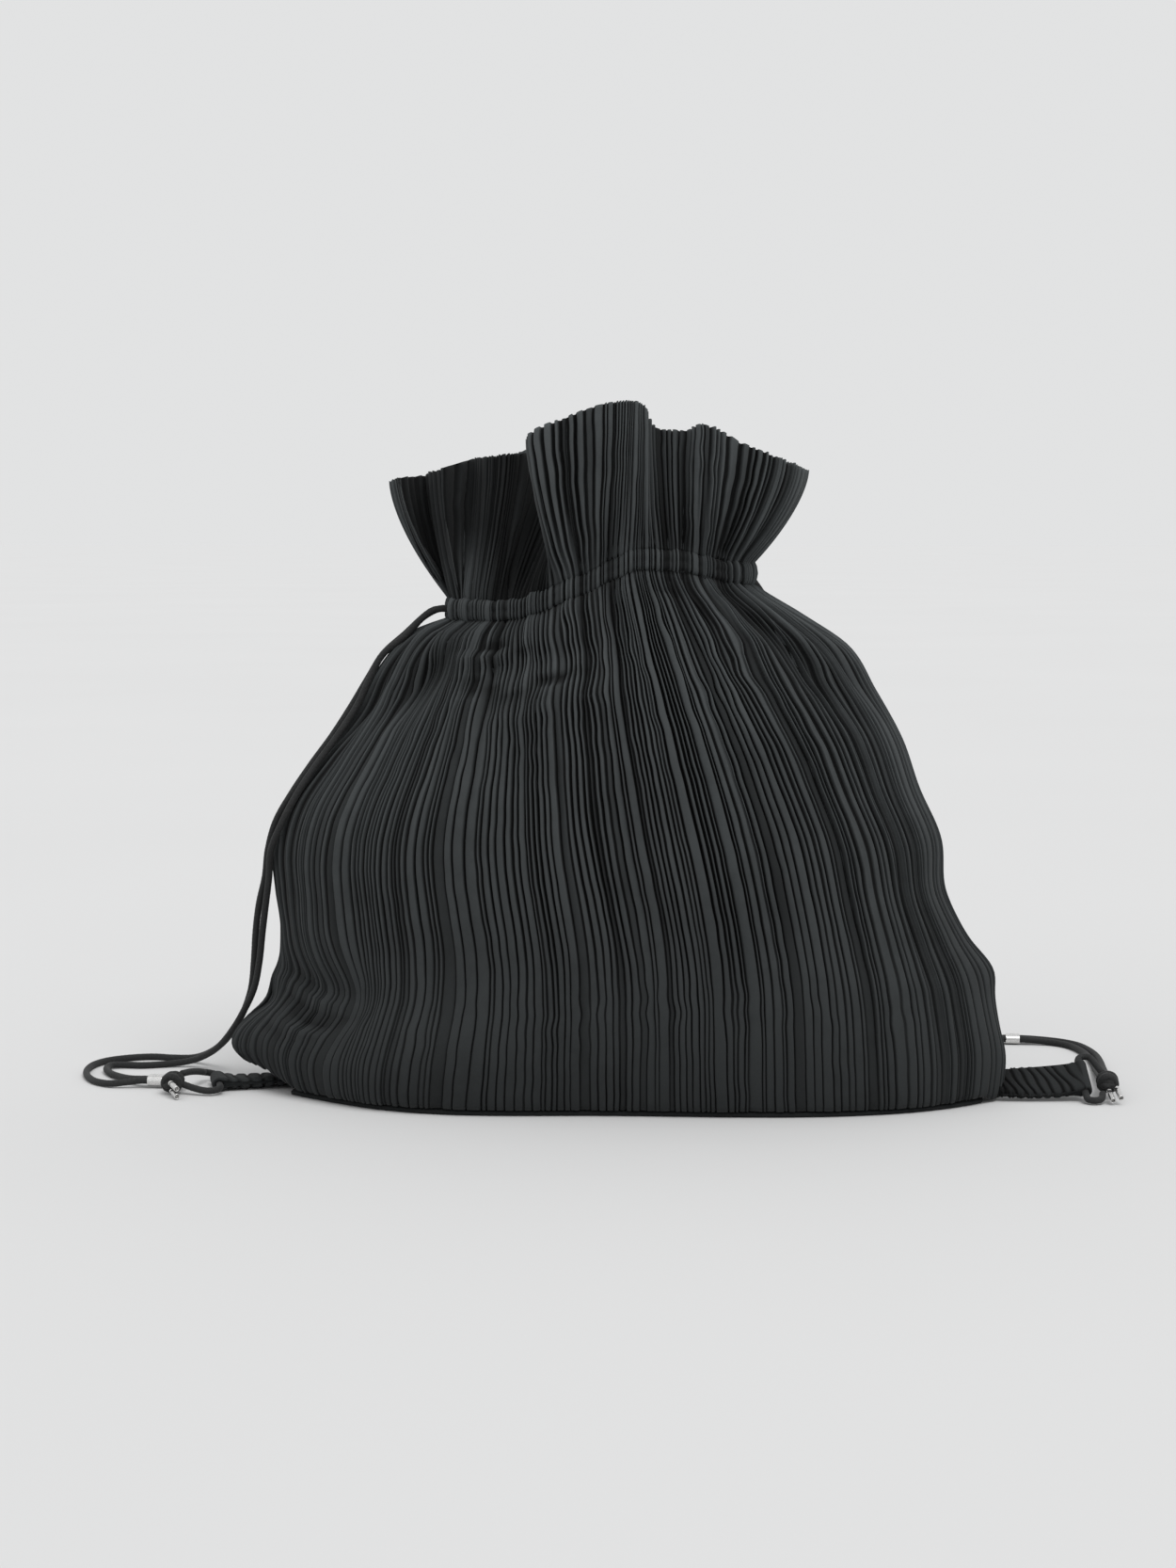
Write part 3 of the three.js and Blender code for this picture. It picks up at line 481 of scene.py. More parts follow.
def tube_faces(rows, sides):
    """Triangles of a tube of rings, closed at both ends by fans to two last points."""
    faces = grid_faces(rows, sides, 0, True)
    k = np.arange(sides)
    beside = (k + 1) % sides
    last = (rows - 1) * sides
    low, high = rows * sides, rows * sides + 1
    start = np.stack([np.full(sides, low), beside, k], 1)
    end = np.stack([np.full(sides, high), last + k, last + beside], 1)
    return np.concatenate([faces, start, end])


def strip_faces(first, second, count):
    """Triangles between two rings of as many points, that start at two indices."""
    k = np.arange(count)
    beside = (k + 1) % count
    return np.concatenate([np.stack([first + k, first + beside, second + beside], 1),
                           np.stack([first + k, second + beside, second + k], 1)])


def circle(sides):
    return np.linspace(0, 2 * math.pi, sides, endpoint=False)


def rings_round(line, radius, angle, side, up):
    """Rings round the points of a line, in the plane of the vectors side and up."""
    across = np.cos(angle)[:, None] * side[:, None] + np.sin(angle)[:, None] * up[:, None]
    return line[:, None] + radius[..., None] * across


def joined(parts):
    """Several sets of points and triangles as one."""
    points, faces, start = [], [], 0
    for some, their_faces in parts:
        points.append(some)
        faces.append(their_faces + start)
        start += len(some)
    return np.concatenate(points), np.concatenate(faces)


# The bag's form, as in the solids
def read_table(rows, place, column, at):
    """A table's column at an array of places, along a smooth curve through its rows."""
    x, y = rows[place], rows[column]
    last = len(x) - 1
    low = np.clip(np.searchsorted(x, at, side="left") - 1, 0, last - 1)
    high = low + 1
    before, after = np.maximum(low - 1, 0), np.minimum(low + 2, last)
    span = x[high] - x[low]
    t = np.clip((at - x[low]) / span, 0, 1)
    slope_low = (y[high] - y[before]) * span / (x[high] - x[before])
    slope_high = (y[after] - y[low]) * span / (x[after] - x[low])
    ends = y[low] * (2 * t**3 - 3 * t**2 + 1) + y[high] * (3 * t**2 - 2 * t**3)
    return ends + slope_low * (t**3 - 2 * t**2 + t) + slope_high * (t**3 - t**2)


def unrolled(rows, place):
    """A ring table with its rows repeated one full turn before and after."""
    out = {name: np.tile(values, 3) for name, values in rows.items()}
    out[place] = out[place] + np.repeat([-360, 0, 360], len(rows[place]))
    return out


FRILL_RING = unrolled(FRILL_FOLDS, "neck")


def lerp(low, high, share):
    return low + (high - low) * share


def smoothstep(x, low, high):
    t = np.clip((x - low) / (high - low), 0, 1)
    return t * t * (3 - 2 * t)


def turn_between(a, b):
    return (a - b + 540) % 360 - 180


def bump(across, along=0.0):
    return np.exp(-(across**2) - along**2)


def channel_level(x):
    side = np.clip((x - NECK_SHIFT) / (NECK_WIDTH / 2), -1, 1)
    return NECK_HEIGHT + NECK_RISE * read_table(NECK_LINE, "side", "height", side)


def neck_outward(turn):
    angle = np.radians(turn)
    return unit(np.stack([np.cos(angle) / NECK_WIDTH, np.sin(angle) / NECK_DEPTH, np.zeros_like(angle)], -1))


def neck_point(turn, inset=0.0, out=0.0):
    angle = np.radians(turn)
    x = NECK_SHIFT + (NECK_WIDTH / 2 - inset) * np.cos(angle)
    y = (NECK_DEPTH / 2 - inset) * np.sin(angle)
    point = np.stack([x, y, np.zeros_like(x)], -1) + neck_outward(turn) * np.asarray(out)[..., None]
    point[..., 2] = channel_level(point[..., 0])
    return point


def mouth_point(turn, out):
    return neck_point(np.asarray(float(turn)), CLOTH_WALL / 2, CHANNEL_THICKNESS / 2 + out)


def hem_lift(turn):
    side = np.cos(np.radians(turn))
    lift = np.where(side < 0, LEFT_CORNER_LIFT, RIGHT_CORNER_LIFT)
    return lift * smoothstep(np.abs(side), HEM_LIFT_START, 1)


def pull_push(turn, level):
    """How deep the folds that the gathers pull into the cloth lie, as a share of the belly's depth."""
    push = np.zeros(np.broadcast(turn, level).shape)
    for neck, foot, reach, spread, depth in zip(*PULL_FOLDS.values()):
        along = np.clip((1 - level) / (1 - reach), 0, 1)
        middle = lerp(neck, foot, along)
        push += depth * np.sin(math.pi * along) ** 2 * bump(turn_between(turn, middle) / spread)
    return push


def cloth_push(turn, level):
    push = pull_push(turn, level)
    for at, up, spread, rise, depth in zip(*BODY_DENTS.values()):
        push += depth * bump(turn_between(turn, at) / spread, (level - up) / rise)
    return push * BELLY_DEPTH


def body_point(turn, level, inset=0.0, pushed=True):
    turn, level = np.broadcast_arrays(np.asarray(turn, float), np.asarray(level, float))
    angle = np.radians(turn)
    across = np.cos(angle)
    front = np.sin(angle) < 0
    part = {name: read_table(BODY_SECTIONS, "level", name, level) for name in list(BODY_SECTIONS)[1:]}
    seam = inset * (1 + CORNER_INSET * (part["corner"] - ROUND_CORNER))
    left = lerp(NECK_WIDTH / 2 - NECK_SHIFT, BASE_WIDTH / 2, part["left"]) - seam
    right = lerp(NECK_WIDTH / 2 + NECK_SHIFT, BASE_WIDTH / 2, part["right"]) - seam
    deep = lerp(NECK_DEPTH / 2, BELLY_DEPTH / 2, np.where(front, part["front"], part["back"])) - inset
    x = (right - left + (right + left) * across) / 2
    y = deep * np.maximum(1 - np.abs(across) ** part["flat"], 0) ** part["corner"] * np.where(front, -1, 1)
    bottom = PANEL_THICKNESS + GAP + hem_lift(turn)
    top = neck_point(turn, inset)[..., 2] - CHANNEL_HEIGHT / 2 - GAP
    push = cloth_push(turn, level) if pushed else 0.0
    return np.stack([x + across * push, y + np.sin(angle) * push, lerp(bottom, top, level)], -1)


def frill_point(turn, share):
    turn, share = np.broadcast_arrays(np.asarray(turn, float), np.asarray(share, float))
    foot = neck_point(turn)
    inside = neck_point(turn, CLOTH_WALL)
    foot_z = np.maximum(foot[..., 2], inside[..., 2]) + CHANNEL_HEIGHT / 2 + GAP
    spread = (1 - (1 - share) ** FLARE_BEND)[..., None]
    turned = turn % 360
    x = NECK_SHIFT + read_table(FRILL_RING, "neck", "x", turned) * FRILL_WIDTH / 2
    y = read_table(FRILL_RING, "neck", "y", turned) * FRILL_DEPTH / 2
    top = NECK_HEIGHT + CHANNEL_HEIGHT / 2 + read_table(FRILL_RING, "neck", "top", turned) * FRILL_HEIGHT
    flat = lerp(foot[..., :2], np.stack([x, y], -1), spread)
    return np.concatenate([flat, lerp(foot_z, top, share)[..., None]], -1)


def channel_point(turn, angle):
    """The puckered band's face at a turn, and at an angle round its section: 0 faces out."""
    turn, angle = np.broadcast_arrays(np.asarray(turn, float), np.asarray(angle, float))
    out = np.sign(np.cos(angle)) * np.abs(np.cos(angle)) ** 0.8 * CHANNEL_THICKNESS / 2
    up = np.sign(np.sin(angle)) * np.abs(np.sin(angle)) ** 0.8 * CHANNEL_HEIGHT / 2
    point = neck_point(turn, CLOTH_WALL / 2, out)
    point[..., 2] += up
    return point


# Cords
CORD_SIDES = 24
CORD_ROW = 0.62
CURVE_POINTS = 24
BRAID_STRANDS = 4
BRAID_PITCH = 2.7
BRAID_RELIEF = 0.13
BRAID_MIDDLE = 0.75
# A direction that no cord starts in, to turn its first ring from
SLANTED = (0.3, 0.2, 1.0)


def smooth_line(route, step):
    """Points a step apart along the centripetal Catmull-Rom curve through a route."""
    route = np.asarray(route, float)
    ends = np.concatenate([[2 * route[0] - route[1]], route, [2 * route[-1] - route[-2]]])
    dense = []
    t = np.linspace(0, 1, CURVE_POINTS, endpoint=False)[:, None]
    for a, b, c, d in zip(ends, ends[1:], ends[2:], ends[3:]):
        before, here, after = (math.sqrt(np.linalg.norm(q - p)) for p, q in ((a, b), (b, c), (c, d)))
        slope = ((b - a) / before - (c - a) / (before + here) + (c - b) / here) * here
        next_slope = ((c - b) / here - (d - b) / (here + after) + (d - c) / after) * here
        dense.append(b * (2 * t**3 - 3 * t**2 + 1) + slope * (t**3 - 2 * t**2 + t)
                     + c * (3 * t**2 - 2 * t**3) + next_slope * (t**3 - t**2))
    dense = np.concatenate(dense + [route[-1:]])
    run = np.concatenate([[0], np.cumsum(np.linalg.norm(np.diff(dense, axis=0), axis=1))])
    even = np.linspace(0, run[-1], max(2, round(run[-1] / step)) + 1)
    return np.stack([np.interp(even, run, dense[:, axis]) for axis in range(3)], 1), run[-1]


def frames_along(line):
    """Two unit vectors square to a line at each of its points, that turn as little as they can."""
    tangent = unit(np.gradient(line, axis=0))
    side = np.zeros_like(line)
    start = np.cross(tangent[0], SLANTED)
    side[0] = start / np.linalg.norm(start)
    for i in range(1, len(line)):
        turned = side[i - 1] - tangent[i] * (side[i - 1] @ tangent[i])
        side[i] = turned / np.linalg.norm(turned)
    return side, np.cross(tangent, side)


def braid_radius(angle, run):
    """A round braid's radius: strands of two directions that pass over and under each other."""
    a = BRAID_STRANDS * angle / (2 * math.pi) + run / BRAID_PITCH
    b = BRAID_STRANDS * angle / (2 * math.pi) - run / BRAID_PITCH
    over = (np.floor(a) + np.floor(b)) % 2 < 0.5
    crown = np.where(over, np.abs(np.sin(math.pi * a)), np.abs(np.sin(math.pi * b)))
    return CORD_DIAMETER / 2 + BRAID_RELIEF * (crown - BRAID_MIDDLE)


def braided_tube(line):
    run = (np.arange(len(line)) * np.linalg.norm(line[1] - line[0]))[:, None]
    angle = circle(CORD_SIDES)
    rings = rings_round(line, braid_radius(angle, run), angle, *frames_along(line))
    points = np.concatenate([rings.reshape(-1, 3), line[:1], line[-1:]])
    return points, tube_faces(len(line), CORD_SIDES)


def make_cord(name, route):
    line, length = smooth_line(route, CORD_ROW)
    piece = make_piece(f"braid_{name}", *braided_tube(line), "cord_braid", f"cord_{name}")
    return piece, line, length


KNOT_SIZE = (13, 15, 13)
KNOT_SIDES = 20
# Each turn of a knot: its place along the knot as a share of its length, its tilt, and how far it wavers
KNOT_WRAPS = ((0.20, 16, 0.0), (-0.16, -20, 0.4), (0.02, 74, 0.2))
KNOT_WRAP_ROWS = 72
# A turn that is steeper than this goes round the others: its reach and its stretch along the knot
STEEP_WRAP = 45
STEEP_REACH = 0.86
STEEP_STRETCH = 1.25
KNOT_CORE_ROWS = 24
KNOT_CORE_WIDTH = 0.8
KNOT_CORE_INSET = 2.2


def ring_tube(line):
    """A closed braided ring along a closed line."""
    tangent = unit(np.roll(line, -1, 0) - np.roll(line, 1, 0))
    middle = line.mean(0)
    out = unit(line - middle - ((line - middle) * tangent).sum(1, keepdims=True) * tangent)
    run = np.concatenate([[0], np.cumsum(np.linalg.norm(np.diff(line, axis=0), axis=1))])
    around = run[-1] + np.linalg.norm(line[0] - line[-1])
    turns = max(1, round(around / BRAID_PITCH))
    angle = circle(KNOT_SIDES)
    radius = braid_radius(angle, (run / around * turns * BRAID_PITCH)[:, None])
    rings = rings_round(line, radius, angle, out, np.cross(tangent, out))
    return rings.reshape(-1, 3), grid_faces(len(line), KNOT_SIDES, 0, True, True)


def knot_core():
    """The fat middle of a knot, which fills the room between its turns."""
    wide, long, _ = KNOT_SIZE
    end = long / 2 - KNOT_CORE_INSET
    line = np.stack([np.zeros(KNOT_CORE_ROWS), np.linspace(-end, end, KNOT_CORE_ROWS),
                     0.6 * np.sin(np.linspace(0, 3, KNOT_CORE_ROWS))], 1)
    belly = np.sqrt(1 - np.linspace(-0.92, 0.92, KNOT_CORE_ROWS) ** 2)[:, None] * wide / 2 * KNOT_CORE_WIDTH
    rings = rings_round(line, belly, circle(KNOT_SIDES), *frames_along(line))
    points = np.concatenate([rings.reshape(-1, 3), line[:1], line[-1:]])
    return points, tube_faces(KNOT_CORE_ROWS, KNOT_SIDES)


def make_knot(side):
    """A tight knot: turns of cord across each other round a core of cord."""
    wide, long, high = KNOT_SIZE
    parts = []
    angle = circle(KNOT_WRAP_ROWS)
    for along, tilt, waver in KNOT_WRAPS:
        steep = tilt > STEEP_WRAP
        reach = (high - CORD_DIAMETER) / 2 * (STEEP_REACH if steep else 1.0)
        bend = 1 + 0.05 * np.sin(3 * angle + waver * 7)
        x = wide / high * reach * np.cos(angle) * bend
        z = reach * np.sin(angle) * bend
        lean = math.radians(tilt)
        y = along * long + z * math.sin(lean) + 0.5 * np.sin(2 * angle + waver)
        if steep:
            y = along * long + STEEP_STRETCH * z * math.sin(lean)
        parts.append(ring_tube(np.stack([x, y, z * math.cos(lean)], 1)))
    parts.append(knot_core())
    points, faces = joined(parts)
    points = points + np.array(KNOT_PLACES[side])
    return make_piece(f"tied_{side}", points, faces, "cord_braid", f"knot_{side}")


# Metal
CRIMP_RIM = 0.3
CRIMP_SIDES = 72
CRIMP_LENGTH_POINTS = 21
CRIMP_ROLL_POINTS = 7
# How far the crimp's outer and inner faces are pressed in between the strands
CRIMP_PRESS = (0.5, 0.3)
# A shallow groove near each of the crimp's ends: its place from the middle, its half width and its depth
CRIMP_GROOVE = (3.2, 0.3, 0.10)


def make_crimp(side):
    """A flat double tube with rolled rims, pressed in between its two strands."""
    bore, shell = CORD_BORE, CORD_BORE + CRIMP_WALL
    end = CRIMP_LENGTH / 2 - CRIMP_RIM
    lengths = np.linspace(-end, end, CRIMP_LENGTH_POINTS)
    roll = np.linspace(0, math.pi, CRIMP_ROLL_POINTS)[1:-1]
    mid = (bore + shell) / 2
    profile = [(shell, x) for x in lengths]
    profile += [(mid + (shell - mid) * math.cos(a), end + CRIMP_RIM * math.sin(a)) for a in roll]
    profile += [(bore, x) for x in lengths[::-1]]
    profile += [(mid - (shell - mid) * math.cos(a), -end - CRIMP_RIM * math.sin(a)) for a in roll]
    angle = circle(CRIMP_SIDES)
    across = np.cos(angle)
    place, reach, depth = CRIMP_GROOVE
    rows = []
    for radius, along in profile:
        y = radius * across + np.sign(across) * STRAND_SPACING / 2 * np.minimum(1, np.abs(across) * 3)
        z = radius * np.sin(angle)
        pressed = CRIMP_PRESS[0] if radius > mid else CRIMP_PRESS[1]
        dent = pressed * bump(y / 1.5, along / 2.6) + depth * bump(0 * y, (abs(along) - place) / reach)
        z = z - np.sign(z) * np.minimum(dent, np.abs(z) * 0.5)
        rows.append(np.stack([np.full_like(y, along), y, z], 1))
    faces = grid_faces(len(profile), CRIMP_SIDES, 0, True, True)
    points = np.array(rows).reshape(-1, 3) + np.array(CRIMP_PLACES[side])
    return make_piece(f"double_tube_{side}", points, faces, "bright_metal", f"crimp_{side}")


AGLET_SIDES = 28


def aglet_profile():
    """Radius and place along: the pinched root, a waist, the plain tube, the rolled tip and the bore."""
    r, b, long = AGLET_DIAMETER / 2, AGLET_BORE / 2, AGLET_LENGTH
    return [(r * 0.55, 0), (r * 0.86, 0.15), (r * 0.98, 0.5), (r, 0.9), (r, 1.7), (r * 0.9, 2.0),
            (r * 0.9, 2.3), (r, 2.6), (r, 5), (r, 8), (r, long - 0.8), (r * 1.03, long - 0.4),
            (r, long - 0.1), ((r + b) / 2, long), (b * 1.03, long - 0.15), (b, long - 0.5), (b, long - 3),
            (b, long - AGLET_BORE_DEPTH)]


def make_aglet(name):
    """A thin metal tube on a cord's end: pinched at its root, rolled at its open tip."""
    root, towards = (np.array(p, float) for p in AGLET_PLACES[name])
    ahead = unit(towards - root)
    side = unit(np.cross(ahead, (0.1, 0.3, 1.0)))
    radius, along = np.array(aglet_profile()).T
    line = root + ahead * along[:, None]
    rings = rings_round(line, radius[:, None], circle(AGLET_SIDES), side[None], np.cross(ahead, side)[None])
    points = np.concatenate([rings.reshape(-1, 3), [root, line[-1]]])
    faces = tube_faces(len(line), AGLET_SIDES)
    return make_piece(f"tip_tube_{name}", points, faces, "bright_metal", f"aglet_{name}")


# Pleated cloth
PLEATS_A_SIDE = 118
ALL_PLEATS = (0, 2 * PLEATS_A_SIDE)
BODY_ROWS = 97
FRILL_ROWS = 45
CHANNEL_ROWS = 18
CLOTH_HEIGHT = 400
TURNS = np.linspace(0, 360, 1441)
HALF = len(TURNS) // 2

# Smooth noises over the cloth: a seed, and how many cells there are across and along
CLOTH_NOISES = {
    "wander": (13, 60, 7),
    "kink": (14, 110, 42),
    "depth": (15, 200, 8),
    "pucker": (16, 104, 3),
    "swell": (17, 26, 7),
    "crumple": (18, 34, 62),
    "rim": (19, 90, 1),
}


def cloth_noise(name, across, along):
    """Smooth noise about 0 that repeats once round the bag."""
    seed, cells_across, cells_along = CLOTH_NOISES[name]
    grid = np.random.default_rng(seed).standard_normal((cells_along + 2, cells_across))
    x = (across % 1) * cells_across
    y = np.clip(along, 0, 1) * cells_along + 0 * x
    column, row = np.floor(x).astype(int) % cells_across, np.floor(y).astype(int)
    fx, fy = x - np.floor(x), y - row
    fx, fy = fx * fx * (3 - 2 * fx), fy * fy * (3 - 2 * fy)
    beside = (column + 1) % cells_across
    low = lerp(grid[row, column], grid[row, beside], fx)
    high = lerp(grid[row + 1, column], grid[row + 1, beside], fx)
    return lerp(low, high, fy)


# How pleats differ: their widths' spread and limits, and each groove's depth and width
PLEAT_SPREAD = 0.45
PLEAT_WIDTHS = (0.45, 1.95)
GROOVE_DEPTHS = (2.4, 4.6)
GROOVE_WIDTHS = (0.7, 1.4)
RIDGE_HEIGHT_SPREAD = 0.45
RIDGE_TILT_SPREAD = 1.0
RIDGE_SHADES = (0, 0.14)
# Some pleats are sunk behind the others, and painted shade makes them darker
SUNK_PART = 0.2
SUNK_BY = 1.7
SUNK_PAINTED_SHADES = (0.35, 0.7)


def make_pleats():
    """Every pleat round the bag: where it starts and how wide it is, as shares of the way round, its groove's
    depth and width, its ridge's height and tilt in millimetres, and how dark its ridge is, a tone that
    differs at random. Some are sunk, and get painted shade instead."""
    draw = np.random.default_rng(11)
    count = 2 * PLEATS_A_SIDE
    widths = np.clip(np.exp(draw.normal(0, PLEAT_SPREAD, count)), *PLEAT_WIDTHS)
    for side in (slice(0, PLEATS_A_SIDE), slice(PLEATS_A_SIDE, count)):
        widths[side] *= 0.5 / widths[side].sum()
    sunk = draw.random(count) < SUNK_PART
    return {
        "start": np.concatenate([[0], np.cumsum(widths)[:-1]]),
        "width": widths,
        "depth": draw.uniform(*GROOVE_DEPTHS, count),
        "groove": draw.uniform(*GROOVE_WIDTHS, count),
        "shade": np.where(sunk, draw.uniform(*SUNK_PAINTED_SHADES, count), draw.uniform(*RIDGE_SHADES, count)),
        "height": draw.normal(0, RIDGE_HEIGHT_SPREAD, count) - SUNK_BY * sunk,
        "tilt": draw.normal(0, RIDGE_TILT_SPREAD, count),
    }


PLEATS = make_pleats()


def shares_by_length(points):
    """How far round the bag each point of a ring is, its back and its front being half the way each."""
    run = np.concatenate([[0], np.cumsum(np.linalg.norm(np.diff(points, axis=0), axis=1))])
    back, front = run[HALF], run[-1] - run[HALF]
    shares = np.where(np.arange(len(run)) <= HALF, 0.5 * run / back, 0.5 + 0.5 * (run - back) / front)
    return shares, run[-1]


# Which turn of the neck each share of the cloth is gathered to: the back evenly, the front as it lies
NECK_GATHERS = rows_of("share turn", [
    (0.0, 0), (0.10, 36), (0.25, 90), (0.40, 144), (0.50, 180), (0.5725, 204), (0.6405, 228.5),
    (0.7194, 251.4), (0.7548, 265.3), (0.7786, 274.3), (0.8215, 287.1), (0.882, 305.1), (0.94, 330),
    (1.0, 360),
])
GATHERED = np.interp(TURNS, NECK_GATHERS["turn"], NECK_GATHERS["share"])

# Levels at which the pleats' places are known: even along the cloth low down, as gathered at the neck
ANCHOR_LEVELS = (0.0, 0.28, 0.56, 1.0)
SIDE_POWER = 3


def side_and_middle(level):
    """A body ring's half width and the place of its middle."""
    left, right = body_point(180.0, level, pushed=False)[0], body_point(0.0, level, pushed=False)[0]
    return (right - left) / 2, (right + left) / 2


def make_anchors():
    """For each anchor level, which turn each of a dense row of shares of the cloth has there."""
    dense = np.linspace(0, 1, len(TURNS))
    rows = []
    for level in ANCHOR_LEVELS:
        shares = GATHERED if level == 1.0 else shares_by_length(body_point(TURNS, level, pushed=False))[0]
        rows.append(np.interp(dense, shares, TURNS))
    return dense, np.array(rows)


ANCHOR_SHARES, ANCHOR_TURNS = make_anchors()


def body_shares(level):
    """The share of the cloth at each of TURNS on a body ring. Seen from the front the pleats run nearly
    straight from anchor to anchor, and by the sides they follow the outline."""
    across = np.cos(np.radians(ANCHOR_TURNS))
    sizes = [side_and_middle(anchor) for anchor in ANCHOR_LEVELS]
    places = np.array([middle + half * row for (half, middle), row in zip(sizes, across)])
    anchors = np.array(ANCHOR_LEVELS)
    weights = np.array([read_table({"level": anchors, "one": row}, "level", "one", np.array(level))
                        for row in np.eye(len(anchors))])
    half, middle = side_and_middle(level)
    follow = weights @ across
    straight = (weights @ places - middle) / half
    cosine = np.clip(lerp(straight, follow, np.clip(np.abs(follow), 0, 1) ** SIDE_POWER), -1, 1)
    turns = np.degrees(np.arccos(cosine))
    turns = np.where(ANCHOR_SHARES <= 0.5, turns, 360 - turns)
    turns[0], turns[HALF], turns[-1] = 0, 180, 360
    return np.interp(TURNS, np.maximum.accumulate(turns), ANCHOR_SHARES)


# Small horizontal crumples: places as for the drifts, and depth in millimetres
CRUMPLES = rows_of("share level spread rise depth", [
    (0.695, 0.86, 0.040, 0.050, 2.6),
    (0.655, 0.93, 0.030, 0.040, 2.0),
    (0.545, 0.16, 0.030, 0.060, 1.6),
    (0.860, 0.93, 0.040, 0.030, 1.2),
])

# A pleat's points across it, from the middle of its groove up to its crest and down again: how deep each
# lies as a share of the groove's depth, how much painted shade the groove gives it, and how much of the
# crest's lift and shade it has
GROOVE_LIFT = np.array([-1.0, -0.85, -0.07, 0.0, 0.03, 0.0, -0.07, -0.85])
GROOVE_PAINTED_SHADE = np.array([1.0, 0.92, 0.14, 0.0, 0.0, 0.0, 0.14, 0.92])
CREST = np.array([0, 0.2, 1, 1, 1, 1, 1, 0.2])
# Places across a pleat: the foot of the groove's bank as a share of it, and the crest's edge beyond it
BANK_FOOT = 0.72
CREST_EDGE = 0.3
# A bank's least and greatest share of its pleat, and how much wider banks are by the side seams
BANK_LIMITS = (0.06, 0.34)
SIDE_BANKS = 0.7
# Every second pleat's groove fades where it is narrow: gone at the first width and whole at the second
NARROW_PLEAT = (1.0, 2.8)
PLEAT_WANDER = 0.0004
KINK_WANDER = 0.0007
# How far the relief's depth changes from place to place, and its limits
UNEVEN_DEPTH = 0.3
DEPTH_LIMITS = (0.4, 1.6)
# How much painted shade a millimetre of pucker or crumple gets in its hollows, and the depth at which it is
# darkest
PUCKER_PAINTED_SHADE = 0.3
DEEPEST_PUCKER = 2.5
CRUMPLE_PAINTED_SHADE = 0.35
DEEPEST_CRUMPLE = 2


def pleat_columns(pleats, ring, around, bank, depth):
    """The columns of a row of pleats: each one's share of the way round, its lift and its shade, which is
    painted shade in the groove and on sunk ridges and a random tone on the others. around is the row's length
    in millimetres, bank the width of a groove's bank, and depth scales the grooves."""
    first, last = pleats
    pick = np.arange(first, last if ring else last + 1)
    at = pick % len(PLEATS["start"])
    start = np.append(PLEATS["start"], 1.0)[pick]
    width, deep, groove, dark, height, tilt = (
        PLEATS[name][at] for name in ("width", "depth", "groove", "shade", "height", "tilt"))
    sideways = 1 + SIDE_BANKS * np.cos(2 * math.pi * start) ** 4
    bank = np.clip(bank * sideways * groove / (width * around), *BANK_LIMITS)
    foot, edge = BANK_FOOT * bank, bank + CREST_EDGE * (0.5 - bank)
    parts = np.stack([0 * bank, foot, bank, edge, 0 * bank + 0.5, 1 - edge, 1 - bank, 1 - foot], 1)
    kept = np.where(at % 2 == 1, smoothstep(width * around, *NARROW_PLEAT), 1.0)
    grooves = np.stack([kept] * 5 + [np.roll(kept, -1)] * 3, 1)
    share = start[:, None] + parts * width[:, None]
    crest = CREST * (height[:, None] + tilt[:, None] * (parts - 0.5))
    lift = GROOVE_LIFT * deep[:, None] * grooves + crest
    # painted shade in the grooves and on the sunk ridges, a random tone on the other ridges
    shade = np.maximum(grooves * GROOVE_PAINTED_SHADE, dark[:, None] * CREST) * min(1, 0.15 + 1.07 * depth)
    # an open row ends with the first column of one more pleat
    count = share.size if ring else share.size - parts.shape[1] + 1
    return [values.ravel()[:count] for values in (share, lift, shade)]


def relief(point_at, shares, around, row, up, pleats, ring, bank, depth, gather, kink, swell, painted_shade_at=None):
    """One row of pleated cloth: its points before the relief, how far the relief lifts each, and how much
    painted shade each gets in the grooves, puckers and crumples. point_at gives a point for a turn and row,
    shares are those of
    TURNS, and up is the row's share of the whole cloth's height. gather, kink and swell say how much the
    cloth puckers, how much its pleats waver, and how much it billows. The last function, if given, adds
    painted shade for a turn and row."""
    share, lift, fold = pleat_columns(pleats, ring, around, bank, depth)
    level = up * CLOTH_HEIGHT / NECK_HEIGHT
    free = np.clip(4 * np.sin(2 * math.pi * share) ** 2, 0, 1)
    wander = PLEAT_WANDER * cloth_noise("wander", share, up)
    wander = wander + KINK_WANDER * kink * cloth_noise("kink", share, up)
    for place, middle, spread, rise, drift in zip(*PLEAT_DRIFTS.values()):
        wander = wander + drift * bump((share - place) / spread, (level - middle) / rise)
    moved = np.maximum.accumulate(np.clip(share + free * wander, share.min(), share.max()))
    turn = np.interp(moved, shares, TURNS)
    lift = lift * depth * np.clip(1 + UNEVEN_DEPTH * cloth_noise("depth", share, up), *DEPTH_LIMITS)
    puckers = gather * cloth_noise("pucker", share, 0.5 + 0.3 * up)
    lift = lift + puckers + swell * free * cloth_noise("swell", share, up)
    # painted shade in the hollows of the puckers, and below of the crumples
    fold = fold + PUCKER_PAINTED_SHADE * np.clip(-puckers, 0, DEEPEST_PUCKER)
    for place, middle, spread, rise, deep in zip(*CRUMPLES.values()):
        here = bump((share - place) / spread, (level - middle) / rise)
        crumple = deep * here * cloth_noise("crumple", share, up)
        lift = lift + crumple
        fold = fold + CRUMPLE_PAINTED_SHADE * np.clip(-crumple, 0, DEEPEST_CRUMPLE)
    shade = painted_shade_at(turn, row) if painted_shade_at else 0.0
    return point_at(turn, row), lift, 1 - (1 - np.clip(fold, 0, 1)) * (1 - shade)


def grids(rows):
    """The rows' points, lifts and shades as three grids."""
    return [np.array(values) for values in zip(*rows)]


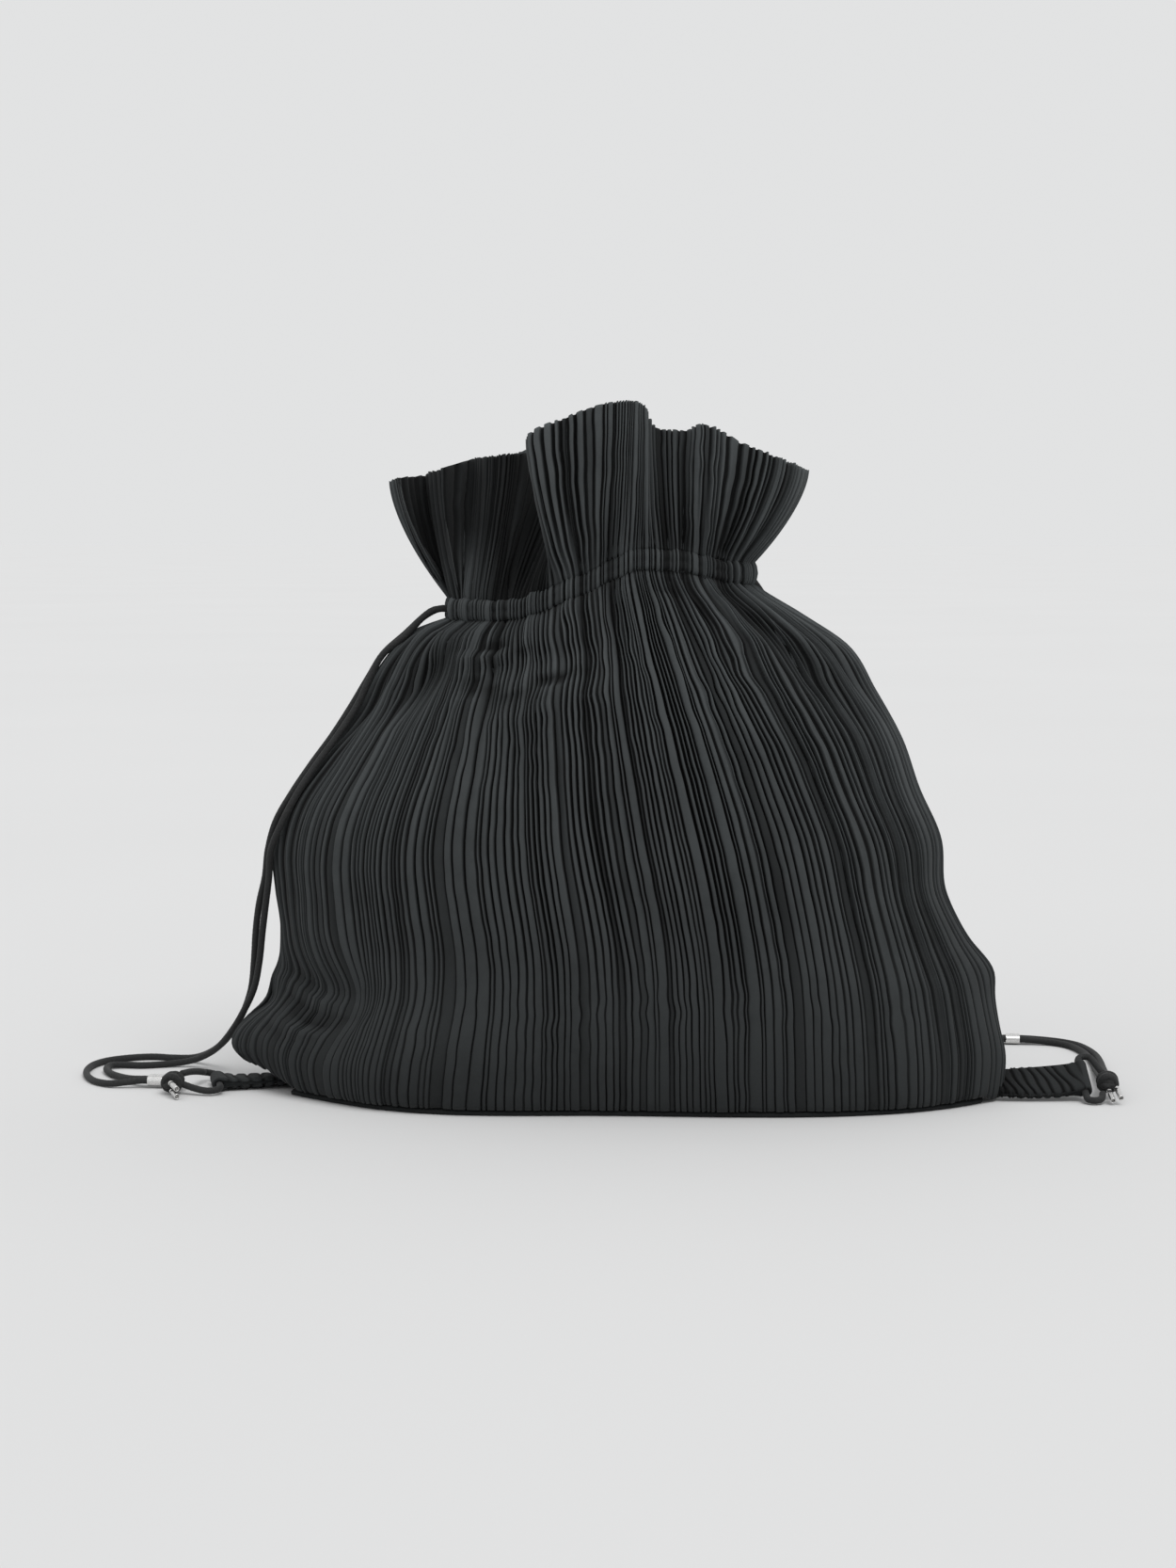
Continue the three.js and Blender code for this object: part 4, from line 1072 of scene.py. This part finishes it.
def outward(grid, ring):
    """Unit vectors square to a grid of points, pointing out."""
    across = np.roll(grid, -1, 1) - np.roll(grid, 1, 1) if ring else np.gradient(grid, axis=1)
    return unit(np.cross(across, np.gradient(grid, axis=0)))


# How dark the painted shade on the unseen side of the cloth is
HIDDEN_PAINTED_SHADE = 0.3
# How often the lifts are evened out to make that side
EVENED_TIMES = 4


def evened(values):
    """Values evened out across the columns."""
    for _ in range(EVENED_TIMES):
        wide = np.pad(values, ((0, 0), (1, 1)), mode="edge")
        values = (wide[:, :-2] + 2 * wide[:, 1:-1] + wide[:, 2:]) / 4
    return values


def cloth_piece(name, points, faces, folds, node):
    """A piece of the pleated cloth. Its mesh keeps how much painted shade each of its first points gets, for
    the cloth's colour there. The rest are its unseen side, which all get one painted shade."""
    piece = make_piece(name, points, faces, "pleated_cloth", node)
    values = np.append(folds.ravel(), np.full(len(points) - folds.size, HIDDEN_PAINTED_SHADE))
    mark = piece.data.attributes.new("fold", "FLOAT", "POINT")
    mark.data.foreach_set("value", values.astype(np.float32))


# How much painted shade the folds pulled into the cloth get, for their depth as a share of the belly's depth
PULL_PAINTED_SHADE = 13
# The shoulder turns in to the neck and gets painted shade: turn, level, spread, rise and shade
SHOULDER_PAINTED_SHADE = (214, 0.95, 20, 0.06, 0.25)
# The most painted shade in the body's folds
DARKEST_PAINTED_PULL = 0.6


def painted_body_shade(turn, level):
    """Painted shade in the folds pulled into the cloth under the neck, and where it turns in to the neck."""
    at, up, spread, rise, shade = SHOULDER_PAINTED_SHADE
    shoulder = shade * bump(turn_between(turn, at) / spread, (level - up) / rise)
    return np.clip(-PULL_PAINTED_SHADE * pull_push(turn, level) + shoulder, 0, DARKEST_PAINTED_PULL)


# The body's pleats waver most at two levels: level, rise and amount, beside an amount everywhere
BODY_KINK = 0.22
BODY_KINKS = ((0.88, 0.14, 1.2), (0.2, 0.06, 0.6))
# Grooves at the hem and higher up, and the levels between which they open; they get shallower at the neck
OPENING = (0.05, 0.6)
HEM_AND_BODY_BANK = (0.45, 0.82)
HEM_AND_BODY_DEPTH = (0.46, 1.0)
NECK_SHALLOWER = 0.15
NECK_SHALLOWER_FROM = 0.8
BODY_GATHER = 2.3
BODY_GATHER_REACH = 36
BODY_SWELL = 0.5
# The hem turns in, and drops over the foot's cut end on the right
HEM_TURN_IN = 1.3
HEM_TURN_REACH = 2.0
HEM_DROP = 3.0
HEM_DROP_HEIGHT = 6.0
HEM_DROP_REACH = (BASE_WIDTH / 2 - RIGHT_PANEL_CUT + 1, BASE_WIDTH / 2 - RIGHT_PANEL_CUT + 7)
# The ends of the cloth are tucked into the channel, with most of their relief gone there
TUCK = 3.0
TUCK_REACH = 2.5
TUCK_RELIEF = 0.3
BODY_TUCK_IN = 1.2
FRILL_TUCK_IN = 0.8


def body_panel(name, first, last):
    """The bag's cloth from one side seam to the other."""
    levels = np.linspace(0, 1, BODY_ROWS)
    heights = levels * (NECK_HEIGHT - CHANNEL_HEIGHT / 2)
    rows = []
    for level, height in zip(levels, heights):
        around = shares_by_length(body_point(TURNS, level, pushed=False))[1]
        opened = smoothstep(level, *OPENING)
        shallower = NECK_SHALLOWER * smoothstep(level, NECK_SHALLOWER_FROM, 1.0)
        rows.append(relief(
            body_point, body_shares(level), around, level, height / CLOTH_HEIGHT, (first, last), ring=False,
            bank=lerp(*HEM_AND_BODY_BANK, opened), depth=lerp(*HEM_AND_BODY_DEPTH, opened) - shallower,
            gather=BODY_GATHER * math.exp(-(1 - level) * NECK_HEIGHT / BODY_GATHER_REACH),
            kink=sum((amount * bump((level - up) / rise) for up, rise, amount in BODY_KINKS), BODY_KINK),
            swell=BODY_SWELL, painted_shade_at=painted_body_shade))
    base, lifts, folds = grids(rows)
    normal = outward(base, False)
    lifts = lifts - HEM_TURN_IN * np.exp(-heights / HEM_TURN_REACH)[:, None]
    drop = HEM_DROP * np.exp(-heights / HEM_DROP_HEIGHT)[:, None]
    base[..., 2] -= drop * smoothstep(base[..., 0], *HEM_DROP_REACH)
    tuck = np.exp(-(1 - levels) * NECK_HEIGHT / TUCK_REACH)[:, None]
    base[..., 2] += TUCK * tuck
    lifts = lerp(lifts, TUCK_RELIEF * lifts - BODY_TUCK_IN, tuck)
    low = np.minimum(evened(lifts), lifts) - CLOTH_WALL
    points, faces = wall(base + normal * lifts[..., None], base + normal * low[..., None], False)
    cloth_piece(name, points, faces, folds, "pleated_body")


# The frill's cloth gets painted shade in its deep folds, at these turns of the neck
FRILL_PAINTED_SHADES = rows_of("turn shade", [
    (0, 0.0), (181, 0.0), (186, 0.3), (191, 0.9), (198, 0.9), (202, 0.78), (206, 0.8), (210, 0.97),
    (213, 0.84), (220, 0.84), (225, 0.99), (251, 0.98), (254, 0.6), (257, 0.0), (293, 0.0), (298, 0.5),
    (303, 0.3), (308, 0.0), (360, 0.0),
])
# The front folds get less painted shade at their foot: between these turns, fading out up to this share of
# the height
LIGHT_FOOT_TURNS = ((198, 204), (222, 230))
LIGHT_FOOT_RISE = (0.1, 0.55)
LIGHT_FOOT = 0.65
LIGHT_EDGE = 0.1
FRILL_BANK = 0.75
FRILL_DEPTH_SCALE = 0.8
# Its pleats are this much shallower at the foot, and it puckers most there: amount and reach in millimetres
FRILL_FOOT_SHALLOWER = (0.1, 8)
FRILL_GATHER = 0.6
FRILL_FOOT_GATHER = (1.2, 40)
FRILL_KINK = 0.5
FRILL_SWELL = 0.6
FRILL_SWELL_FROM = 0.3
# The edge rises and falls with the pleats: its reach down, the share of their lift and its limits
FRILL_EDGE_REACH = 3.0
FRILL_EDGE_PART = 0.3
FRILL_EDGE_LIMITS = (-0.9, 0.5)
FRILL_RIM = 0.3
# The frill's edge lies lower than its full height for the most part, so its cloth is this share of it
FRILL_PART = 0.8
FRILL_WALL = 1.4
FRILL_LIE = (1, 1, 0.35)


def painted_frill_shade(turn, share):
    """Painted shade in the deep folds, less of it at the edge and at the foot of the front ones."""
    start, end = LIGHT_FOOT_TURNS
    at_foot = (smoothstep(turn, *start) - smoothstep(turn, *end)) * (1 - smoothstep(share, *LIGHT_FOOT_RISE))
    shade = np.interp(turn, FRILL_PAINTED_SHADES["turn"], FRILL_PAINTED_SHADES["shade"])
    return shade * (1 - LIGHT_EDGE * share) * (1 - LIGHT_FOOT * at_foot)


def frill():
    """The open collar, whose pleats run on over its folds to an edge that follows them."""
    shares = np.linspace(0, 1, FRILL_ROWS)
    shallower, shallow_reach = FRILL_FOOT_SHALLOWER
    gather, gather_reach = FRILL_FOOT_GATHER
    rows = []
    for share in shares:
        around = shares_by_length(frill_point(TURNS, share))[1]
        up = (NECK_HEIGHT + share * FRILL_HEIGHT * FRILL_PART) / CLOTH_HEIGHT
        rows.append(relief(
            frill_point, GATHERED, around, share, up, ALL_PLEATS, ring=True, bank=FRILL_BANK,
            depth=FRILL_DEPTH_SCALE - shallower * math.exp(-share * FRILL_HEIGHT / shallow_reach),
            gather=FRILL_GATHER + gather * math.exp(-share * FRILL_HEIGHT / gather_reach), kink=FRILL_KINK,
            swell=FRILL_SWELL * smoothstep(share, 0, FRILL_SWELL_FROM), painted_shade_at=painted_frill_shade))
    base, lifts, folds = grids(rows)
    normal = unit(outward(base, True) * np.array(FRILL_LIE))
    edge = np.exp(-(1 - shares) * FRILL_HEIGHT * FRILL_PART / FRILL_EDGE_REACH)[:, None]
    tuck = np.exp(-shares * FRILL_HEIGHT / TUCK_REACH)[:, None]
    base[..., 2] -= TUCK * tuck
    lifts = lerp(lifts, TUCK_RELIEF * lifts - FRILL_TUCK_IN, tuck)
    outer = base + normal * lifts[..., None]
    outer[..., 2] += edge * np.clip(FRILL_EDGE_PART * lifts, *FRILL_EDGE_LIMITS)
    inner = base + normal * (lifts - FRILL_WALL)[..., None]
    inner[-1, :, 2] = outer[-1, :, 2] - FRILL_RIM
    points, faces = wall(outer, inner, True)
    cloth_piece("frill", points, faces, folds, "frill_collar")


CHANNEL_BANK = 0.65
CHANNEL_DEPTH_SCALE = 0.9
CHANNEL_GATHER = 1.6
CHANNEL_KINK = 0.4
CHANNEL_LIFTS = (-2.6, 2.0)
# The share of their relief that its pleats keep on the side that faces in
CHANNEL_INSIDE = 0.3
# It gets painted shade at its two seams, and rises and falls a little round the neck
CHANNEL_SEAM_PAINTED_SHADE = 0.3
CHANNEL_RIM_RISE = 0.7
MOUTH_DIMPLE = 2.2
MOUTH_DIMPLE_REACH = 3.2


def channel():
    """The band round the neck, puffed between its two seams and dimpled where the cords come out."""
    around = shares_by_length(neck_point(TURNS))[1]
    rows = []
    for angle in np.linspace(-math.pi, math.pi, CHANNEL_ROWS, endpoint=False):
        base, lift, fold = relief(
            channel_point, GATHERED, around, angle, NECK_HEIGHT / CLOTH_HEIGHT, ALL_PLEATS, ring=True,
            bank=CHANNEL_BANK, depth=CHANNEL_DEPTH_SCALE, gather=CHANNEL_GATHER, kink=CHANNEL_KINK, swell=0)
        facing = max(math.cos(angle), 0) ** 0.5
        # painted shade in the creases at the two seams
        rim = CHANNEL_SEAM_PAINTED_SHADE * smoothstep(abs(math.sin(angle)), 0.85, 1.0)
        kept = lerp(CHANNEL_INSIDE, 1.0, facing)
        rows.append((base, np.clip(lift, *CHANNEL_LIFTS) * kept, np.maximum(fold, rim)))
    base, lifts, folds = grids(rows)
    points = base + unit(base - base.mean(0, keepdims=True)) * lifts[..., None]
    columns = base.shape[1]
    points[..., 2] += CHANNEL_RIM_RISE * cloth_noise("rim", np.linspace(0, 1, columns, endpoint=False), 0.5)
    for turn in MOUTH_TURNS.values():
        away = np.linalg.norm(points - mouth_point(turn, 0), axis=-1)
        dimple = MOUTH_DIMPLE * np.exp(-(away / MOUTH_DIMPLE_REACH) ** 2)
        points = points - neck_outward(np.asarray(float(turn))) * dimple[..., None]
    faces = grid_faces(CHANNEL_ROWS, columns, 0, True, True)
    cloth_piece("neck_channel", points.reshape(-1, 3), faces, folds, "drawstring_channel")


# Foot and tabs
FOOT_POINTS = 720
FOOT_INSET = 0.8
# The foot's rolled edge, as inset and height
FOOT_ROLL = ((6, 0.0), (1.2, 0.0), (0.35, 0.35), (0.0, 1.0), (0.0, 2.0), (0.35, 2.65), (1.2, 3.0), (6, 3.0))


def foot_panel():
    """The flat foot: a stiff panel wrapped in smooth cloth, with a rolled edge."""
    turns = np.linspace(0, 360, FOOT_POINTS, endpoint=False)
    cut = (-BASE_WIDTH / 2 + LEFT_PANEL_CUT, BASE_WIDTH / 2 - RIGHT_PANEL_CUT)
    rows = []
    for inset, z in FOOT_ROLL:
        edge = body_point(turns, 0.0, PANEL_INSET + FOOT_INSET + inset)
        x = np.clip(edge[:, 0], cut[0] + inset, cut[1] - inset)
        rows.append(np.stack([x, edge[:, 1], np.full_like(x, z)], 1))
    points = np.concatenate(rows + [[[0, 0, 0], [0, 0, PANEL_THICKNESS]]])
    make_piece("foot_panel", points, tube_faces(len(rows), FOOT_POINTS), "base_cloth", "base_panel")


TAB_THICKNESS = 5
TAB_RIDGE = 0.8
EYE_RISE = (0.6, 0.92)
TAB_ROOT_LEVELS = (0, 0.01)


def tab_root_x(side):
    if side == "left":
        slant = abs(math.sin(math.radians(TABS["left"]["turn"]))) * TAB_WIDTH / 2
        return -BASE_WIDTH / 2 + LEFT_PANEL_CUT - GAP - slant
    return max(body_point(0.0, level)[0] for level in TAB_ROOT_LEVELS) + GAP


def tab_places(side, along, across, up):
    """Places in a tab: along from its root, across from its middle and up from its middle plane."""
    tab = TABS[side]
    share = along / TAB_LENGTH
    twist = np.radians(lerp(tab["root_twist"], tab["tip_twist"], share))
    half = min(TAB_THICKNESS / 2 + TAB_RIDGE, EYE_RADIUS)
    strap_low = np.sin(twist) * TAB_WIDTH / 2 + np.cos(twist) * half
    eye_low = np.sin(twist) * TAB_WIDTH / 2 + EYE_RADIUS
    middle = lerp(strap_low, eye_low, smoothstep(share, *EYE_RISE)) + tab["lift"] * share**2
    y = across * np.cos(twist) - up * np.sin(twist)
    z = middle + across * np.sin(twist) + up * np.cos(twist)
    turn = math.radians(tab["turn"])
    return np.stack([along * math.cos(turn) - y * math.sin(turn) + tab_root_x(side),
                     along * math.sin(turn) + y * math.cos(turn) + tab["y"], z], -1)


# A tab's pleats: how many there are, how far they slant across it as a share of one, their seed and how dark
# the tab is. Its root is pinched and gets painted shade, and the right one starts inside the bag's corner.
TAB_LOOKS = {
    "left": {"pleats": 7, "slant": 0.25, "seed": 23, "shade": 0.0,
             "tuck": 0.0, "pinch": 0.0, "root_painted_shade": 0.45, "root_reach": 5.0},
    "right": {"pleats": 9, "slant": 1.5, "seed": 24, "shade": 0.28,
              "tuck": 3.5, "pinch": 0.17, "root_painted_shade": 0.62, "root_reach": 8.0},
}
STRAP_POINTS = 170
TIP_POINTS = 26
TAB_ROWS = 33
BORE_STEP = 8
TAB_RIDGE_PART = 0.8
TAB_GROOVE = 1.3
TAB_GROOVE_WIDTH = 0.17
TAB_GROOVE_PINCH = 0.09
# Painted shade in a tab's grooves, and the shade of its tip
TAB_GROOVE_PAINTED_SHADE = 0.85
TAB_TIP_SHADE = 0.2
# How far a tab's grooves waver, and how uneven their spacing is, as shares of a pleat
TAB_WAVER = 0.12
TAB_UNEVEN = 0.6
# How thick the tab's edges are beside its middle, on the strap and at the eye
STRAP_EDGE = 0.15
EYE_EDGE = 0.93


def tab_valley(look, uneven, strap, part):
    """How deep in a groove each place along a tab is. part is the place across it, from -1 to 1."""
    run = look["pleats"] * strap / TAB_LENGTH + look["slant"] * (part + 1) / 2
    run = run + TAB_WAVER * np.sin(3.1 * part + 0.9 * run)
    nearest = np.round(run)
    offset = np.abs(run - nearest - TAB_UNEVEN * uneven[nearest.astype(int) % len(uneven)])
    return np.exp(-(offset / TAB_GROOVE_WIDTH) ** 2)


def make_tab(side):
    """A strip of the pleated cloth, folded round the cord at its tip. Its pleats run across it on a slant."""
    look = TAB_LOOKS[side]
    eye = TAB_LENGTH - EYE_RADIUS
    strap = np.linspace(-look["tuck"], eye, STRAP_POINTS, endpoint=False)
    near_root = np.exp(-np.maximum(strap, 0.0) / look["root_reach"])
    near_eye = smoothstep(strap, eye - 2 * EYE_RADIUS, eye)
    tip = np.linspace(-math.pi / 2, math.pi / 2, TIP_POINTS)
    across = np.linspace(-1, 1, TAB_ROWS)
    uneven = np.random.default_rng(look["seed"]).uniform(-0.22, 0.22, 24)
    rows, shades = [], []
    for part in across:
        valley = tab_valley(look, uneven, strap, part)
        edge = lerp(STRAP_EDGE, 1.0, math.sqrt(1 - abs(part) ** 8))
        thick = (TAB_THICKNESS / 2 + TAB_RIDGE * TAB_RIDGE_PART - TAB_GROOVE * valley) * edge
        radius = EYE_RADIUS * lerp(EYE_EDGE, 1.0, edge)
        half = lerp(thick, radius, near_eye)
        x = np.concatenate([strap, eye + radius * np.cos(tip), strap[::-1]])
        up = np.concatenate([-half, radius * np.sin(tip), half[::-1]])
        narrow = TAB_GROOVE_PINCH * valley
        narrow = narrow + look["pinch"] * near_root * (1 + 0.35 * np.sin(2.9 * strap + 2 * part))
        pinch = 1 - np.concatenate([narrow, 0 * tip, narrow[::-1]])
        rows.append(tab_places(side, x, part * (TAB_WIDTH / 2) * pinch, up))
        # painted shade in the grooves and at the pinched root
        fold = TAB_GROOVE_PAINTED_SHADE * valley * (1 - 0.5 * near_eye) + look["root_painted_shade"] * near_root
        fold = np.clip(fold + look["shade"], 0, 1)
        shades.append(np.concatenate([fold, TAB_TIP_SHADE + 0 * tip, fold[::-1]]))
    outer = np.array(rows)
    count = outer.shape[1]
    # the bore has as many points round it as the outline has, so that the side faces join them one to one
    outline = np.concatenate([np.linspace(-math.pi, -math.pi / 2, len(strap), endpoint=False), tip,
                              np.linspace(math.pi / 2, math.pi, len(strap))])
    bore_x, bore_up = eye + CORD_BORE * np.cos(outline), CORD_BORE * np.sin(outline)
    inner = np.array([tab_places(side, bore_x, np.full(count, part * TAB_WIDTH / 2), bore_up)
                      for part in across[::BORE_STEP]])
    start = len(outer) * count
    last, inner_last = start - count, start + (len(inner) - 1) * count
    points = np.concatenate([outer.reshape(-1, 3), inner.reshape(-1, 3)])
    faces = np.concatenate([
        grid_faces(len(outer), count, 0, True)[:, ::-1],
        grid_faces(len(inner), count, start, True),
        strip_faces(0, start, count),
        strip_faces(last, inner_last, count)[:, [0, 2, 1]],
    ])
    cloth_piece(f"corner_tab_{side}", points, faces, np.array(shades), f"tab_{side}")


def make_all():
    metal, knots, aglets = {}, {}, {}
    for side in ("left", "right"):
        metal[side] = make_crimp(side)
        knots[side] = make_knot(side)
    for name in AGLET_PLACES:
        aglets[name] = make_aglet(name)
    for name, turn in MOUTH_TURNS.items():
        side = name.split("_")[0]
        route = [mouth_point(turn, GAP - MOUTH_DEPTH), mouth_point(turn, CORD_STRAIGHT)] + CORD_ROUTES[name]
        cord, line, length = make_cord(name, route)
        mouth_point(turn, 0) * MM
    for side in ("left", "right"):
        cord, line, length = make_cord(f"{side}_loop", CORD_ROUTES[f"{side}_loop"])
    body_panel("pleated_front", PLEATS_A_SIDE, 2 * PLEATS_A_SIDE)
    body_panel("pleated_back", 0, PLEATS_A_SIDE)
    channel()
    frill()
    foot_panel()
    make_tab("left")
    make_tab("right")


make_all()


# Studio
FLOOR_REACH = 60.0
FLOOR_GREYS = (0.615, 0.625)
WORLD_COLOUR = (0.760, 0.765, 0.768, 1)
# The suns: name, strength, and angle of softness, tilt and turn in degrees
SUNS = (("key", 1.5, 36, 30, 38), ("fill", 0.25, 90, 45, -50))


def make_floor():
    mesh = bpy.data.meshes.new("floor")
    corners = [(x * FLOOR_REACH, y * FLOOR_REACH, 0) for x, y in ((-1, -1), (1, -1), (1, 1), (-1, 1))]
    mesh.from_pydata(corners, [], [(0, 1, 2, 3)])
    m = Nodes("pale_floor")
    m.set(Roughness=0.9, Specular_IOR_Level=0.0)
    m.link(m.ramp(m.noise(1.2, 2), [(0.3, grey(FLOOR_GREYS[0])), (0.7, grey(FLOOR_GREYS[1]))]), "Base Color")
    mesh.materials.append(m.material)
    floor = bpy.data.objects.new("floor", mesh)
    bpy.context.scene.collection.objects.link(floor)


def make_light():
    world = bpy.data.worlds.new("studio")
    world.use_nodes = True
    world.node_tree.nodes["Background"].inputs["Color"].default_value = WORLD_COLOUR
    bpy.context.scene.world = world
    for name, strength, angle, tilt, turn in SUNS:
        light = bpy.data.lights.new(name, "SUN")
        light.energy = strength
        light.angle = math.radians(angle)
        lamp = bpy.data.objects.new(name, light)
        lamp.rotation_euler = (math.radians(tilt), 0, math.radians(turn))
        bpy.context.scene.collection.objects.link(lamp)
    bpy.context.scene.view_settings.view_transform = "Standard"


make_floor()
make_light()
